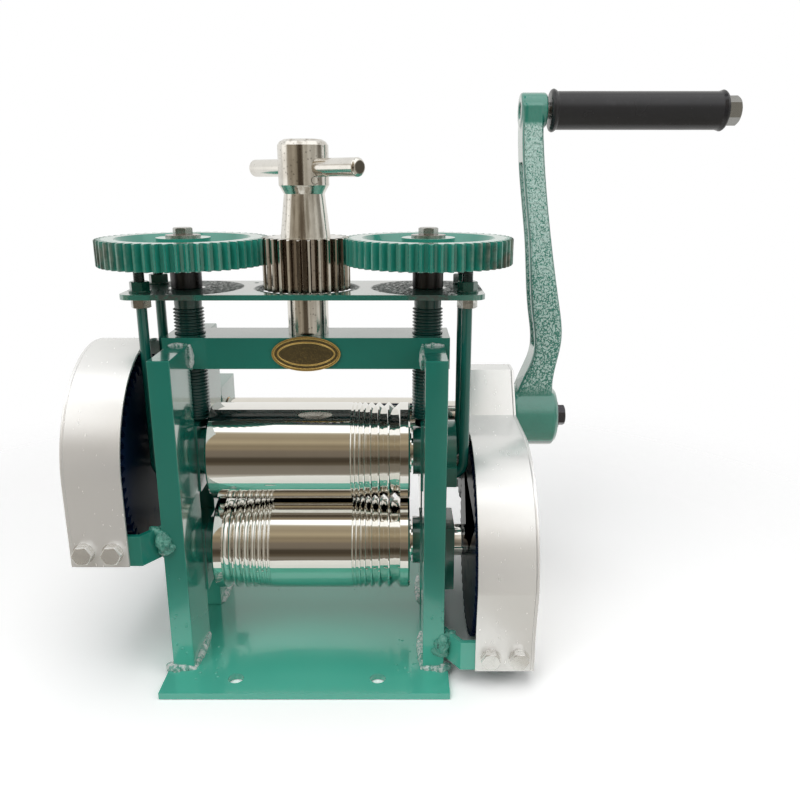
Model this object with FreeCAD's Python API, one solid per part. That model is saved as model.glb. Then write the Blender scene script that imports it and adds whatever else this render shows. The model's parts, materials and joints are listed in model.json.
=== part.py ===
"""Hand-cranked jewellers rolling mill, built as separate pieces.

Millimetres. +Z is up, +X runs along the rolls towards the crank, and the operator stands at -Y.
The origin is the middle of the base plate's underside, straight below the plane of the roll axes.
"""
import FreeCAD
import Part
import math
import os

V = FreeCAD.Vector

# --- fasteners --------------------------------------------------------------------------------
M6_R, M6_AF, M6_HEAD, M6_NUT, M6_WASHER_R, M6_WASHER = 3.0, 10.0, 4.0, 5.0, 6.2, 1.0
M8_R, M8_AF, M8_HEAD, M8_WASHER_R, M8_WASHER = 4.0, 13.0, 5.5, 11.0, 1.8
ROLL_NUT_AF, ROLL_NUT, ROLL_WASHER_R, ROLL_WASHER = 22.0, 9.0, 15.0, 2.0

# --- frame ------------------------------------------------------------------------------------
BASE_WIDTH, BASE_DEPTH, BASE_THICK = 166.0, 159.0, 4.0
BASE_HOLE_D, BASE_HOLE_X, BASE_HOLE_Y = 9.0, 41.5, 65.5
POST_THICK, POST_DEPTH, POST_TOP = 12.5, 40.0, 192.0
POST_INNER_X = 68.0
POST_OUTER_X = POST_INNER_X + POST_THICK
SLOT = 32.5
BEAM_HALF_X, BEAM_Z0, BEAM_Z1 = 83.5, 178.0, 196.5
PLAQUE_WIDTH, PLAQUE_HEIGHT, PLAQUE_THICK, PLAQUE_RIM, PLAQUE_SINK = 40.0, 20.5, 1.5, 1.2, 0.6

# --- rolls ------------------------------------------------------------------------------------
ROLL_R, ROLL_HALF = 30.0, 60.5
NIP = 1.0
LOWER_Z = 61.0
UPPER_Z = LOWER_Z + 2 * ROLL_R + NIP
JOURNAL_R, GEAR_SEAT_R, THREAD_END_R = 10.0, 9.0, 7.0
ROLL_CHAMFER, ROLL_COLLAR_R, ROLL_COLLAR = 1.0, 14.0, 1.0
RUNNING = 0.05
GROOVES = 7
GROOVE_FIRST, GROOVE_GROWTH, GROOVE_LAND = 1.5, 1.28, 0.8
GROOVE_START_X = 25.0

# --- chocks and bushes ------------------------------------------------------------------------
BUSH_R = 13.0
CHOCK_IN_X, CHOCK_BLOCK_X, CHOCK_OUT_X = 62.5, 67.0, 88.5
CHOCK_HALF_Z = 21.0
CHOCK_SIDE_GAP = 0.1
INNER_BOSS_R, OUTER_BOSS_R, CHOCK_FACE_GAP = 15.0, 19.0, 0.1
LOWER_CHOCK_Z0, LOWER_CHOCK_Z1 = 34.0, 76.0
LUG_HALF_Y, LUG_Z0, LUG_Z1 = 24.0, 107.0, 119.0
PAD_R, PAD_DEPTH = 7.0, 4.0

# --- lifting plate, rods and adjusting screws -------------------------------------------------
PLATE_HALF_X, PLATE_HALF_Y, PLATE_Z0, PLATE_THICK = 102.0, 31.2, 220.5, 3.0
PLATE_Z1 = PLATE_Z0 + PLATE_THICK
PLATE_CORNER = 7.0
SPARE_HOLE_X, SPARE_HOLE_Y, SPARE_HOLE_R = -33.4, 20.8, 1.5
PINION_HOLE_GAP = 2.5
ROD_X, ROD_Y, ROD_R, ROD_BEND_R = 92.7, 18.0, M6_R, 8.0
ROD_TOP, ROD_END_X = 236.5, POST_OUTER_X + 2.0
SCREW_R, SCREW_PITCH, SCREW_DEPTH = 9.0, 2.0, 1.1
SCREW_NECK_R, SCREW_JOURNAL_R, COLLAR_R = 8.0, 7.0, 9.0
THREAD_TOP = 213.5
STOP_GAP = 0.1

# --- adjusting gears and T-handle -------------------------------------------------------------
TOP_MODULE, TOP_TEETH, PINION_TEETH = 1.75, 54, 27
SCREW_X = TOP_MODULE * (TOP_TEETH + PINION_TEETH) / 2
TOP_GEAR_Z0, TOP_GEAR_FACE = 237.5, 15.0
TOP_GEAR_Z1 = TOP_GEAR_Z0 + TOP_GEAR_FACE
TOP_BACKLASH = 0.06
PINION_Z0, PINION_Z1 = 222.8, 252.8
BOSS_R, RIM_R, WEB_DEPTH, HOLLOW_DEPTH, WEB_UNDER_WASHER = 15.5, 38.5, 5.0, 4.0, 1.5
GEAR_WASHER_R, GEAR_WASHER, GEAR_BOLT_REACH = 10.0, 1.6, 16.0
SHAFT_R, BEAM_JOURNAL_R = 12.0, 9.0
POCKET_R, POCKET_DEPTH, RETAINER_REACH = 11.5, 5.0, 16.0
KNOB_R, KNOB_Z0, KNOB_Z1, KNOB_CROWN, NECK_TOP_R = 14.3, 281.0, 303.0, 3.2, 11.6
TOMMY_R, TOMMY_LENGTH, TOMMY_Z = 5.0, 95.0, 291.0

# --- drive ------------------------------------------------------------------------------------
DRIVE_MODULE, ROLL_TEETH, DRIVE_TEETH, IDLER_TEETH = 2.0, 58, 17, 22
DRIVE_BACKLASH = 0.08
ROLL_GEAR_RIM_R, ROLL_GEAR_BOSS_R, ROLL_GEAR_RECESS = 48.0, 19.0, 4.0
KEY_HALF, DRIVE_KEY_HALF = 2.5, 2.0
CRANK_Y = DRIVE_MODULE * (ROLL_TEETH + DRIVE_TEETH) / 2
CRANK_Z = UPPER_Z
GEAR_X0, GEAR_FACE = 98.0, 16.0
GEAR_X1 = GEAR_X0 + GEAR_FACE
CROSS_SHAFT_R, CROSS_JOURNAL_R, CROSS_BUSH_R, DRIVE_SEAT_R = 12.5, 10.0, 13.0, 9.0
BRACKET_Y1, BRACKET_Z1 = 98.0, 147.0
LEFT_BRACKET_Z0, RIGHT_BRACKET_Z0 = 78.0, 70.0
IDLER_PIN_R, IDLER_COLLAR_R, IDLER_GAP = 7.0, 10.0, 0.3

# --- crank ------------------------------------------------------------------------------------
CRANK_LENGTH = 205.0
HUB_R, HUB_X0, HUB_X1 = 21.0, 133.0, 164.5
EYE_R, EYE_X0, EYE_X1 = 11.0, 131.5, 148.5
ARM_HALF_Y, ARM_RAIL, ARM_WEB, ARM_ROUND = 12.0, 5.0, 6.0, 2.0
ARM_INNER_REACH, ARM_OUTER_REACH = 9.0, 11.0
HUB_CHAMFER, EYE_CHAMFER = 3.0, 1.0
GRIP_X0, GRIP_X1, GRIP_R, GRIP_BEAD_R = 150.6, 263.6, 11.8, 13.4
SPINDLE_R, SPINDLE_AF, SPINDLE_HEAD = 5.0, 16.0, 8.0
CRANK_BOLT_REACH = 22.0

# --- gear guards ------------------------------------------------------------------------------
SHEET, COVER = 1.5, 2.0
LEFT_GUARD_R, RIGHT_GUARD_R, LEFT_GUARD_Z = 67.0, 71.5, 125.0
LEFT_GUARD_X, RIGHT_GUARD_X = (96.3, 128.8), (98.0, 132.3)
LEFT_FRONT_Y, RIGHT_FRONT_Y, RIGHT_FRONT_Z = -67.0, -67.5, 34.0
LEFT_GUARD_BOTTOM, RIGHT_GUARD_BOTTOM = 76.6, 10.0
LEFT_TAIL_R, COVER_HOLE_R = 28.0, 12.0
FOOT_Y0, FOOT_Y1, FOOT_DROP = -10.0, 60.0, 58.5
BOX_FRONT_Y0, BOX_FRONT_Y1, BOX_TOP_Z, BOX_BACK_Y, BOX_BACK_Z0 = 40.0, 60.0, 159.0, 112.0, 52.0
BOX_CORNER = 40.0
STRAP_THICK, STRAP_HEIGHT, STRAP_BEND_X, STRAP_ROOT = 3.0, 18.0, 9.0, 5.0
STRAP_INSET = 4.0
LEFT_BOLTS_X, RIGHT_BOLTS_X = (104.5, 120.5), (106.5, 123.0)


def box(x0, x1, y0, y1, z0, z1):
    """Block between two corners, given in any order."""
    corner = V(min(x0, x1), min(y0, y1), min(z0, z1))
    return Part.makeBox(abs(x1 - x0), abs(y1 - y0), abs(z1 - z0), corner)


def rod_x(x0, x1, y, z, r):
    """Cylinder along X."""
    return Part.makeCylinder(r, abs(x1 - x0), V(min(x0, x1), y, z), V(1, 0, 0))


def rod_y(x, y0, y1, z, r):
    """Cylinder along Y."""
    return Part.makeCylinder(r, abs(y1 - y0), V(x, min(y0, y1), z), V(0, 1, 0))


def rod_z(x, y, z0, z1, r):
    """Cylinder along Z."""
    return Part.makeCylinder(r, abs(z1 - z0), V(x, y, min(z0, z1)), V(0, 0, 1))


def prism(points, direction):
    """Solid swept from a closed polygon of points."""
    return Part.Face(Part.makePolygon(points + [points[0]])).extrude(direction)


def turned_z(profile, x=0.0, y=0.0):
    """Solid of revolution about a vertical axis from (radius, height) points."""
    points = [V(r, 0, z) for r, z in profile]
    solid = Part.Face(Part.makePolygon(points + [points[0]])).revolve(V(0, 0, 0), V(0, 0, 1), 360)
    solid.translate(V(x, y, 0))
    return solid


def turned_x(profile, y, z):
    """Solid of revolution about an axis along X from (position, radius) points."""
    points = [V(x, 0, r) for x, r in profile]
    solid = Part.Face(Part.makePolygon(points + [points[0]])).revolve(V(0, 0, 0), V(1, 0, 0), 360)
    solid.translate(V(0, y, z))
    return solid


def hexagon(centre, across_flats, length, axis):
    """Hexagonal prism with chamfered far corners, standing on centre along axis."""
    corner_r = across_flats / math.sqrt(3)
    points = [V(corner_r * math.cos(math.pi * i / 3), corner_r * math.sin(math.pi * i / 3), 0)
              for i in range(6)]
    nut = prism(points, V(0, 0, length))
    bevel = 0.16 * across_flats
    cone = turned_z([(0, 0), (corner_r + 1, 0), (corner_r + 1, length - 0.55 * bevel),
                     (across_flats / 2 - 0.2, length), (0, length)])
    nut = nut.common(cone)
    nut.Placement = FreeCAD.Placement(centre, FreeCAD.Rotation(V(0, 0, 1), axis))
    return nut


def mirrored(shape):
    """The same piece on the other side of the machine."""
    return shape.mirror(V(0, 0, 0), V(1, 0, 0))


def on_side(shape, side):
    """A piece modelled on the right (+X), placed on the side asked for."""
    return shape if side > 0 else mirrored(shape)


def save(node, *shapes):
    """Write one node's STEP file from its solids."""
    solids = [solid for shape in shapes for solid in shape.Solids]
    for solid in solids:
        if not solid.isValid() or solid.Volume <= 0:
            print("CHECK", node, "has an invalid solid")
    shape = solids[0] if len(solids) == 1 else Part.makeCompound(solids)
    shape.exportStep(f"parts/{node}.step")
    print(f"{node}: {len(solids)} solid(s), {sum(s.Volume for s in solids) / 1000:.2f} cm3")


# --- gears ------------------------------------------------------------------------------------

def involute(angle):
    return math.tan(angle) - angle


def gear_blank(module, teeth, face, phase, backlash, flank_steps=4):
    """Straight spur gear about Z from z = 0 to face, with one tooth centred on phase (radians)."""
    pressure = math.radians(20)
    pitch_r = module * teeth / 2
    base_r = pitch_r * math.cos(pressure)
    tip_r = pitch_r + module
    root_r = pitch_r - 1.25 * module
    start_r = max(base_r, root_r)
    half_pitch = math.pi / (2 * teeth) - backlash / pitch_r

    def half_angle(radius):
        local = math.acos(min(1.0, base_r / radius))
        return half_pitch + involute(pressure) - involute(local)

    radii = [start_r + (tip_r - start_r) * i / flank_steps for i in range(flank_steps + 1)]
    flank = [(radius, half_angle(radius)) for radius in radii]
    if root_r < start_r:
        flank.insert(0, (root_r, half_angle(start_r)))
    points = []
    for tooth in range(teeth):
        centre = phase + 2 * math.pi * tooth / teeth
        for radius, half in flank:
            points.append(V(radius * math.cos(centre - half), radius * math.sin(centre - half), 0))
        for radius, half in reversed(flank):
            points.append(V(radius * math.cos(centre + half), radius * math.sin(centre + half), 0))
    gear = prism(points, V(0, 0, face))
    edge = 0.3 * module
    envelope = turned_z([(0, 0), (tip_r - edge, 0), (tip_r + 0.01, edge + 0.01),
                         (tip_r + 0.01, face - edge - 0.01), (tip_r - edge, face), (0, face)])
    return gear.common(envelope)


def mating_phase(teeth_a, phase_a, teeth_b, direction):
    """Tooth phase of gear b, which lies from gear a along direction, so that the two are in mesh."""
    return direction + math.pi - (phase_a - direction) * teeth_a / teeth_b - math.pi / teeth_b


def gear_along_x(module, teeth, face, phase, backlash, x0, y, z):
    """Spur gear about an axis along X. Angles run from +Y towards +Z."""
    gear = gear_blank(module, teeth, face, phase, backlash)
    gear.Placement = FreeCAD.Placement(V(x0, y, z), FreeCAD.Rotation(V(0, 1, 0), V(0, 0, 1), V(1, 0, 0)))
    return gear


# --- frame pieces -----------------------------------------------------------------------------

def base_plate():
    plate = box(-BASE_WIDTH / 2, BASE_WIDTH / 2, -BASE_DEPTH / 2, BASE_DEPTH / 2, 0, BASE_THICK)
    for x in (-BASE_HOLE_X, BASE_HOLE_X):
        for y in (-BASE_HOLE_Y, BASE_HOLE_Y):
            plate = plate.cut(rod_z(x, y, -1, BASE_THICK + 1, BASE_HOLE_D / 2))
    return plate


def post(front):
    """Upright flat bar on the right side, before or behind the chock window."""
    y0, y1 = SLOT / 2, SLOT / 2 + POST_DEPTH
    if front:
        y0, y1 = -y1, -y0
    return box(POST_INNER_X, POST_OUTER_X, y0, y1, BASE_THICK, POST_TOP)


def crossbeam():
    beam = box(-BEAM_HALF_X, BEAM_HALF_X, -SLOT / 2, SLOT / 2, BEAM_Z0, BEAM_Z1)
    for x in (-SCREW_X, SCREW_X):
        beam = beam.cut(rod_z(x, 0, BEAM_Z0 - 1, BEAM_Z1 + 1, SCREW_R + RUNNING))
    beam = beam.cut(rod_z(0, 0, BEAM_Z0 - 1, BEAM_Z1 + 1, BEAM_JOURNAL_R + RUNNING))
    return beam.cut(rod_z(0, 0, BEAM_Z0 - 1, BEAM_Z0 + POCKET_DEPTH, POCKET_R))


def oval(width, height, y0, y1, x, z):
    ellipse = Part.Ellipse(V(0, 0, 0), width / 2, height / 2)
    face = Part.Face(Part.Wire(ellipse.toShape()))
    face.Placement = FreeCAD.Placement(V(x, y0, z), FreeCAD.Rotation(V(1, 0, 0), V(0, 0, 1), V(0, -1, 0)))
    return face.extrude(V(0, y1 - y0, 0))


def plaque():
    """Blank oval plate with a raised rim."""
    front = -SLOT / 2 - PLAQUE_THICK
    middle = (BEAM_Z0 + BEAM_Z1) / 2
    plate = oval(PLAQUE_WIDTH, PLAQUE_HEIGHT, front, -SLOT / 2, 0, middle)
    field_width, field_height = PLAQUE_WIDTH - 2 * PLAQUE_RIM, PLAQUE_HEIGHT - 2 * PLAQUE_RIM
    return plate.cut(oval(field_width, field_height, front - 1, front + PLAQUE_SINK, 0, middle))


def shaft_bracket(z0, idler_centre=None):
    """Plate behind the right rear post that carries the cross shaft, and the idler's pin if given."""
    bracket = box(POST_INNER_X, POST_OUTER_X, SLOT / 2 + POST_DEPTH, BRACKET_Y1, z0, BRACKET_Z1)
    bracket = bracket.cut(rod_x(POST_INNER_X - 1, POST_OUTER_X + 1, CRANK_Y, CRANK_Z, CROSS_BUSH_R))
    if idler_centre:
        pin_y, pin_z = idler_centre
        bracket = bracket.cut(rod_x(POST_INNER_X - 1, POST_OUTER_X + 1, pin_y, pin_z, IDLER_PIN_R))
    return bracket


def sleeve_x(x0, x1, y, z, outer, inner):
    return rod_x(x0, x1, y, z, outer).cut(rod_x(x0 - 1, x1 + 1, y, z, inner))


def lower_chock():
    """Fixed block between the posts with a round face towards the roll."""
    chock = box(CHOCK_BLOCK_X, CHOCK_OUT_X, -SLOT / 2, SLOT / 2, LOWER_CHOCK_Z0, LOWER_CHOCK_Z1)
    chock = chock.fuse(rod_x(CHOCK_IN_X, POST_INNER_X, 0, LOWER_Z, INNER_BOSS_R))
    return chock.cut(rod_x(CHOCK_IN_X - 1, CHOCK_OUT_X + 1, 0, LOWER_Z, BUSH_R)).removeSplitter()


def upper_chock():
    """Sliding chock with a round face towards the roll and a lug outside the posts for both rods."""
    half = SLOT / 2 - CHOCK_SIDE_GAP
    bottom, top = UPPER_Z - CHOCK_HALF_Z, UPPER_Z + CHOCK_HALF_Z
    outside = POST_OUTER_X + 2 * CHOCK_FACE_GAP
    chock = box(CHOCK_BLOCK_X, outside, -half, half, bottom, top)
    chock = chock.fuse(rod_x(CHOCK_IN_X, POST_INNER_X, 0, UPPER_Z, INNER_BOSS_R))
    chock = chock.fuse(rod_x(outside, CHOCK_OUT_X, 0, UPPER_Z, OUTER_BOSS_R))
    chock = chock.fuse(box(outside, CHOCK_OUT_X, -LUG_HALF_Y, LUG_HALF_Y, LUG_Z0, LUG_Z1))
    chock = chock.cut(rod_x(CHOCK_IN_X - 1, CHOCK_OUT_X + 1, 0, UPPER_Z, BUSH_R + RUNNING))
    for y in (-ROD_Y, ROD_Y):
        chock = chock.cut(lift_rod(y))
    return chock.cut(rod_z(SCREW_X, 0, top - PAD_DEPTH, top + 1, PAD_R)).removeSplitter()


def thrust_pad():
    top = UPPER_Z + CHOCK_HALF_Z
    return rod_z(SCREW_X, 0, top - PAD_DEPTH, top, PAD_R)


# --- rolls ------------------------------------------------------------------------------------

def groove_spans():
    """Start and width of each groove, the narrowest nearest the middle of the roll."""
    spans = []
    x = GROOVE_START_X
    for i in range(GROOVES):
        width = GROOVE_FIRST * GROOVE_GROWTH ** i
        spans.append((x, width))
        x += width + GROOVE_LAND
    return spans


def vee_cutter(start, width, z):
    """Ring that cuts a square-angled V groove in a roll on the axis at height z."""
    over = 1.0
    return turned_x([(start - over, ROLL_R + over), (start + width / 2, ROLL_R - width / 2),
                     (start + width + over, ROLL_R + over)], 0, z)


def round_cutter(start, width, z):
    return Part.makeTorus(ROLL_R, width / 2, V(-start - width / 2, 0, z), V(1, 0, 0))


def roll(z, geared_side, round_grooves):
    """Grooved roll with journals, a gear seat and a thread on the geared side (+1 or -1)."""
    plain, full = CHOCK_OUT_X - 0.5, GEAR_X0
    seat, end = GEAR_X1, GEAR_X1 + ROLL_WASHER + ROLL_NUT + 1
    bevel, collar = ROLL_CHAMFER, ROLL_HALF + ROLL_COLLAR
    profile = [(-plain, 0), (-plain, JOURNAL_R - bevel), (-plain + bevel, JOURNAL_R), (-collar, JOURNAL_R),
               (-collar, ROLL_COLLAR_R), (-ROLL_HALF, ROLL_COLLAR_R), (-ROLL_HALF, ROLL_R - bevel),
               (-ROLL_HALF + bevel, ROLL_R), (ROLL_HALF - bevel, ROLL_R), (ROLL_HALF, ROLL_R - bevel),
               (ROLL_HALF, ROLL_COLLAR_R), (collar, ROLL_COLLAR_R), (collar, JOURNAL_R),
               (full, JOURNAL_R), (full, GEAR_SEAT_R), (seat, GEAR_SEAT_R), (seat, THREAD_END_R),
               (end - bevel, THREAD_END_R), (end, THREAD_END_R - bevel), (end, 0)]
    body = on_side(turned_x(profile, 0, z), geared_side)
    for start, width in groove_spans():
        body = body.cut(vee_cutter(start, width, z))
        if round_grooves:
            body = body.cut(round_cutter(start, width, z))
    return body.cut(on_side(gear_key(z), geared_side))


def gear_key(z):
    """Square key half in the shaft and half in the roll gear, on the right side."""
    top = z + GEAR_SEAT_R
    return box(GEAR_X0 + 1, GEAR_X1 - 1, -KEY_HALF, KEY_HALF, top - KEY_HALF, top + KEY_HALF)


def roll_gear(side, z, phase):
    """Gear on the end of a roll, with its outer web recessed."""
    gear = gear_along_x(DRIVE_MODULE, ROLL_TEETH, GEAR_FACE, phase, DRIVE_BACKLASH, GEAR_X0, 0, z)
    gear = gear.cut(rod_x(GEAR_X0 - 1, GEAR_X1 + 1, 0, z, GEAR_SEAT_R))
    recess = sleeve_x(GEAR_X1 - ROLL_GEAR_RECESS, GEAR_X1 + 1, 0, z, ROLL_GEAR_RIM_R, ROLL_GEAR_BOSS_R)
    gear = gear.cut(recess).cut(gear_key(z))
    return on_side(gear, side)


def roll_nut(side, z):
    face = GEAR_X1 + ROLL_WASHER
    washer = sleeve_x(GEAR_X1, face, 0, z, ROLL_WASHER_R, THREAD_END_R)
    nut = hexagon(V(face, 0, z), ROLL_NUT_AF, ROLL_NUT, V(1, 0, 0))
    nut = nut.cut(rod_x(GEAR_X1, face + ROLL_NUT + 1, 0, z, THREAD_END_R))
    return on_side(washer, side), on_side(nut, side)


# --- lifting gear -----------------------------------------------------------------------------

def top_plate():
    plate = box(-PLATE_HALF_X, PLATE_HALF_X, -PLATE_HALF_Y, PLATE_HALF_Y, PLATE_Z0, PLATE_Z1)
    corners = [edge for edge in plate.Edges if abs(edge.Vertexes[0].Z - edge.Vertexes[-1].Z) > 1]
    plate = plate.makeFillet(PLATE_CORNER, corners)
    pinion_tip = TOP_MODULE * (PINION_TEETH + 2) / 2
    plate = plate.cut(rod_z(0, 0, PLATE_Z0 - 1, PLATE_Z1 + 1, pinion_tip + PINION_HOLE_GAP))
    plate = plate.cut(rod_z(SPARE_HOLE_X, SPARE_HOLE_Y, PLATE_Z0 - 1, PLATE_Z1 + 1, SPARE_HOLE_R))
    for side in (-1, 1):
        plate = plate.cut(rod_z(side * SCREW_X, 0, PLATE_Z0 - 1, PLATE_Z1 + 1, SCREW_JOURNAL_R + RUNNING))
        for y in (-ROD_Y, ROD_Y):
            plate = plate.cut(rod_z(side * ROD_X, y, PLATE_Z0 - 1, PLATE_Z1 + 1, ROD_R))
    return plate


def lift_rod(y):
    """Rod from above the plate down past the post, bent inwards into the chock's lug."""
    z = (LUG_Z0 + LUG_Z1) / 2
    top = V(ROD_X, y, ROD_TOP)
    bend_top = V(ROD_X, y, z + ROD_BEND_R)
    bend_in = V(ROD_X - ROD_BEND_R, y, z)
    end = V(ROD_END_X, y, z)
    turn = ROD_BEND_R * (1 - math.sqrt(0.5))
    middle = V(ROD_X - turn, y, z + turn)
    bend = Part.Arc(bend_top, middle, bend_in)
    curves = (Part.LineSegment(top, bend_top), bend, Part.LineSegment(bend_in, end))
    path = Part.Wire([curve.toShape() for curve in curves])
    circle = Part.Wire(Part.Circle(top, V(0, 0, 1), ROD_R).toShape())
    return path.makePipeShell([circle], True, True)


def rod_nut(y, above):
    start = PLATE_Z1 if above else PLATE_Z0
    step = M6_WASHER if above else -M6_WASHER
    bore = rod_z(ROD_X, y, start - 9, start + 9, ROD_R)
    washer = rod_z(ROD_X, y, start, start + step, M6_WASHER_R)
    nut = hexagon(V(ROD_X, y, start + step), M6_AF, M6_NUT, V(0, 0, step))
    return washer.cut(bore), nut.cut(bore)


def adjusting_screw():
    """Screw with ring-cut thread, a neck that carries the plate and a journal for collar and gear."""
    bottom = UPPER_Z + CHOCK_HALF_Z + STOP_GAP
    core = SCREW_R - SCREW_DEPTH
    profile = [(0, bottom), (core - 1, bottom), (core, bottom + 1)]
    turns = int((THREAD_TOP - bottom - 1.2) / SCREW_PITCH)
    for turn in range(turns):
        z = bottom + 1 + turn * SCREW_PITCH
        profile += [(core, z + 0.25), (SCREW_R, z + 0.85), (SCREW_R, z + 1.15), (core, z + 1.75)]
    top = TOP_GEAR_Z1 - WEB_UNDER_WASHER
    profile += [(core, THREAD_TOP), (SCREW_NECK_R, THREAD_TOP), (SCREW_NECK_R, PLATE_Z0 - STOP_GAP),
                (SCREW_JOURNAL_R, PLATE_Z0 - STOP_GAP), (SCREW_JOURNAL_R, top), (0, top)]
    screw = turned_z(profile, SCREW_X)
    return screw.cut(rod_z(SCREW_X, 0, TOP_GEAR_Z1 - GEAR_BOLT_REACH, TOP_GEAR_Z1, M6_R))


def screw_collar():
    return rod_z(SCREW_X, 0, PLATE_Z1 + STOP_GAP, TOP_GEAR_Z0, COLLAR_R).cut(
        rod_z(SCREW_X, 0, PLATE_Z1, TOP_GEAR_Z0, SCREW_JOURNAL_R))


def top_gear(side, phase):
    """Big adjusting gear with a recessed web on both faces and a boss for the washer."""
    x = side * SCREW_X
    gear = gear_blank(TOP_MODULE, TOP_TEETH, TOP_GEAR_FACE, phase, TOP_BACKLASH)
    gear.translate(V(x, 0, TOP_GEAR_Z0))
    top, under = TOP_GEAR_Z1, TOP_GEAR_Z0
    recess = turned_z([(BOSS_R, top + 1), (BOSS_R, top - 3.5), (BOSS_R + 1.5, top - WEB_DEPTH),
                       (RIM_R - 2.5, top - WEB_DEPTH), (RIM_R, top + 0.01), (RIM_R, top + 1)], x)
    roof = under + HOLLOW_DEPTH
    hollow = turned_z([(BOSS_R - 1.5, under - 1), (BOSS_R - 1.5, roof), (RIM_R, roof), (RIM_R, under - 1)], x)
    bore = rod_z(x, 0, under - 1, top - WEB_UNDER_WASHER, SCREW_JOURNAL_R)
    return gear.cut(recess).cut(hollow).cut(bore).cut(rod_z(x, 0, under - 1, top + 1, M6_R))


def gear_bolt(x):
    """Washer and hex bolt that hold a top gear on its screw."""
    top = TOP_GEAR_Z1 + GEAR_WASHER
    washer = rod_z(x, 0, TOP_GEAR_Z1, top, GEAR_WASHER_R).cut(rod_z(x, 0, TOP_GEAR_Z1 - 1, top + 1, M6_R))
    head = hexagon(V(x, 0, top), M6_AF, M6_HEAD, V(0, 0, 1))
    return washer, head.fuse(rod_z(x, 0, TOP_GEAR_Z1 - GEAR_BOLT_REACH, top, M6_R)).removeSplitter()


# --- T-handle ---------------------------------------------------------------------------------

def tommy_direction():
    return V(math.sqrt(0.5), -math.sqrt(0.5), 0)


def tommy_bar():
    along = tommy_direction()
    half = TOMMY_LENGTH / 2
    bar = turned_z([(0, -half), (TOMMY_R - 1.5, -half), (TOMMY_R, -half + 1.5), (TOMMY_R, half - 1.5),
                    (TOMMY_R - 1.5, half), (0, half)])
    bar.Placement = FreeCAD.Placement(V(0, 0, TOMMY_Z), FreeCAD.Rotation(V(0, 0, 1), along))
    return bar


def adjusting_pinion():
    """Shaft, pinion, tapered neck and knob turned in one piece."""
    foot = BEAM_Z0 + POCKET_DEPTH + 0.2
    knob_top = KNOB_Z1 + KNOB_CROWN
    shaft = turned_z([(0, foot), (BEAM_JOURNAL_R, foot), (BEAM_JOURNAL_R, BEAM_Z1 + STOP_GAP),
                      (SHAFT_R, BEAM_Z1 + STOP_GAP), (SHAFT_R, PINION_Z1), (KNOB_R, PINION_Z1),
                      (NECK_TOP_R, KNOB_Z0 - 4.2), (KNOB_R - 0.4, KNOB_Z0), (KNOB_R, KNOB_Z0 + 0.5),
                      (KNOB_R, KNOB_Z1), (KNOB_R - 1.2, KNOB_Z1 + 1.9), (KNOB_R - 3.6, knob_top),
                      (0, knob_top)])
    teeth = gear_blank(TOP_MODULE, PINION_TEETH, PINION_Z1 - PINION_Z0, 0.0, TOP_BACKLASH)
    teeth.translate(V(0, 0, PINION_Z0))
    handle = shaft.fuse(teeth).removeSplitter()
    along = tommy_direction()
    start = V(0, 0, TOMMY_Z) - along * 2 * KNOB_R
    handle = handle.cut(Part.makeCylinder(TOMMY_R, 4 * KNOB_R, start, along))
    return handle.cut(rod_z(0, 0, BEAM_Z0, foot + RETAINER_REACH, M6_R))


def pinion_retainer():
    """Washer and screw let into the beam's underside, under the T-handle's journal."""
    seat = BEAM_Z0 + POCKET_DEPTH
    washer = rod_z(0, 0, seat - 2, seat - 0.1, POCKET_R - 0.5).cut(rod_z(0, 0, seat - 3, seat + 1, M6_R))
    head = rod_z(0, 0, BEAM_Z0 + 0.3, seat - 2, M6_AF / 2 + 0.2)
    return washer, head.fuse(rod_z(0, 0, seat - 2, seat + RETAINER_REACH - 2, M6_R)).removeSplitter()


# --- drive ------------------------------------------------------------------------------------

def idler_centre():
    """The idler meets the drive pinion and the lower roll's gear, on the low rear side of their line."""
    reach = math.hypot(CRANK_Y, CRANK_Z - LOWER_Z)
    to_roll = DRIVE_MODULE * (ROLL_TEETH + IDLER_TEETH) / 2
    to_pinion = DRIVE_MODULE * (DRIVE_TEETH + IDLER_TEETH) / 2
    along = (to_roll ** 2 - to_pinion ** 2 + reach ** 2) / (2 * reach)
    across = math.sqrt(to_roll ** 2 - along ** 2)
    uy, uz = CRANK_Y / reach, (CRANK_Z - LOWER_Z) / reach
    return along * uy + across * uz, LOWER_Z + along * uz - across * uy


def shaft_key(x0, x1):
    """Square key on top of the cross shaft's seat."""
    z, half = CRANK_Z + DRIVE_SEAT_R, DRIVE_KEY_HALF
    return box(x0, x1, CRANK_Y - half, CRANK_Y + half, z - half, z + half)


def drive_key(side):
    return shaft_key(side * (GEAR_X0 + 1), side * (GEAR_X1 - 1))


def hub_key():
    return shaft_key(HUB_X0 + 2, HUB_X1 - 3)


def cross_shaft():
    inner, left_end, right_end = POST_INNER_X - 0.5, -GEAR_X1 - 2, HUB_X1 - 1
    profile = [(left_end, 0), (left_end, DRIVE_SEAT_R), (-GEAR_X0, DRIVE_SEAT_R), (-GEAR_X0, CROSS_JOURNAL_R),
               (-inner, CROSS_JOURNAL_R), (-inner, CROSS_SHAFT_R), (inner, CROSS_SHAFT_R),
               (inner, CROSS_JOURNAL_R), (GEAR_X0, CROSS_JOURNAL_R), (GEAR_X0, DRIVE_SEAT_R),
               (right_end, DRIVE_SEAT_R), (right_end, 0)]
    shaft = turned_x(profile, CRANK_Y, CRANK_Z)
    for key in (drive_key(-1), drive_key(1), hub_key()):
        shaft = shaft.cut(key)
    return shaft.cut(rod_x(HUB_X1 - CRANK_BOLT_REACH, HUB_X1, CRANK_Y, CRANK_Z, M8_R))


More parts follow.
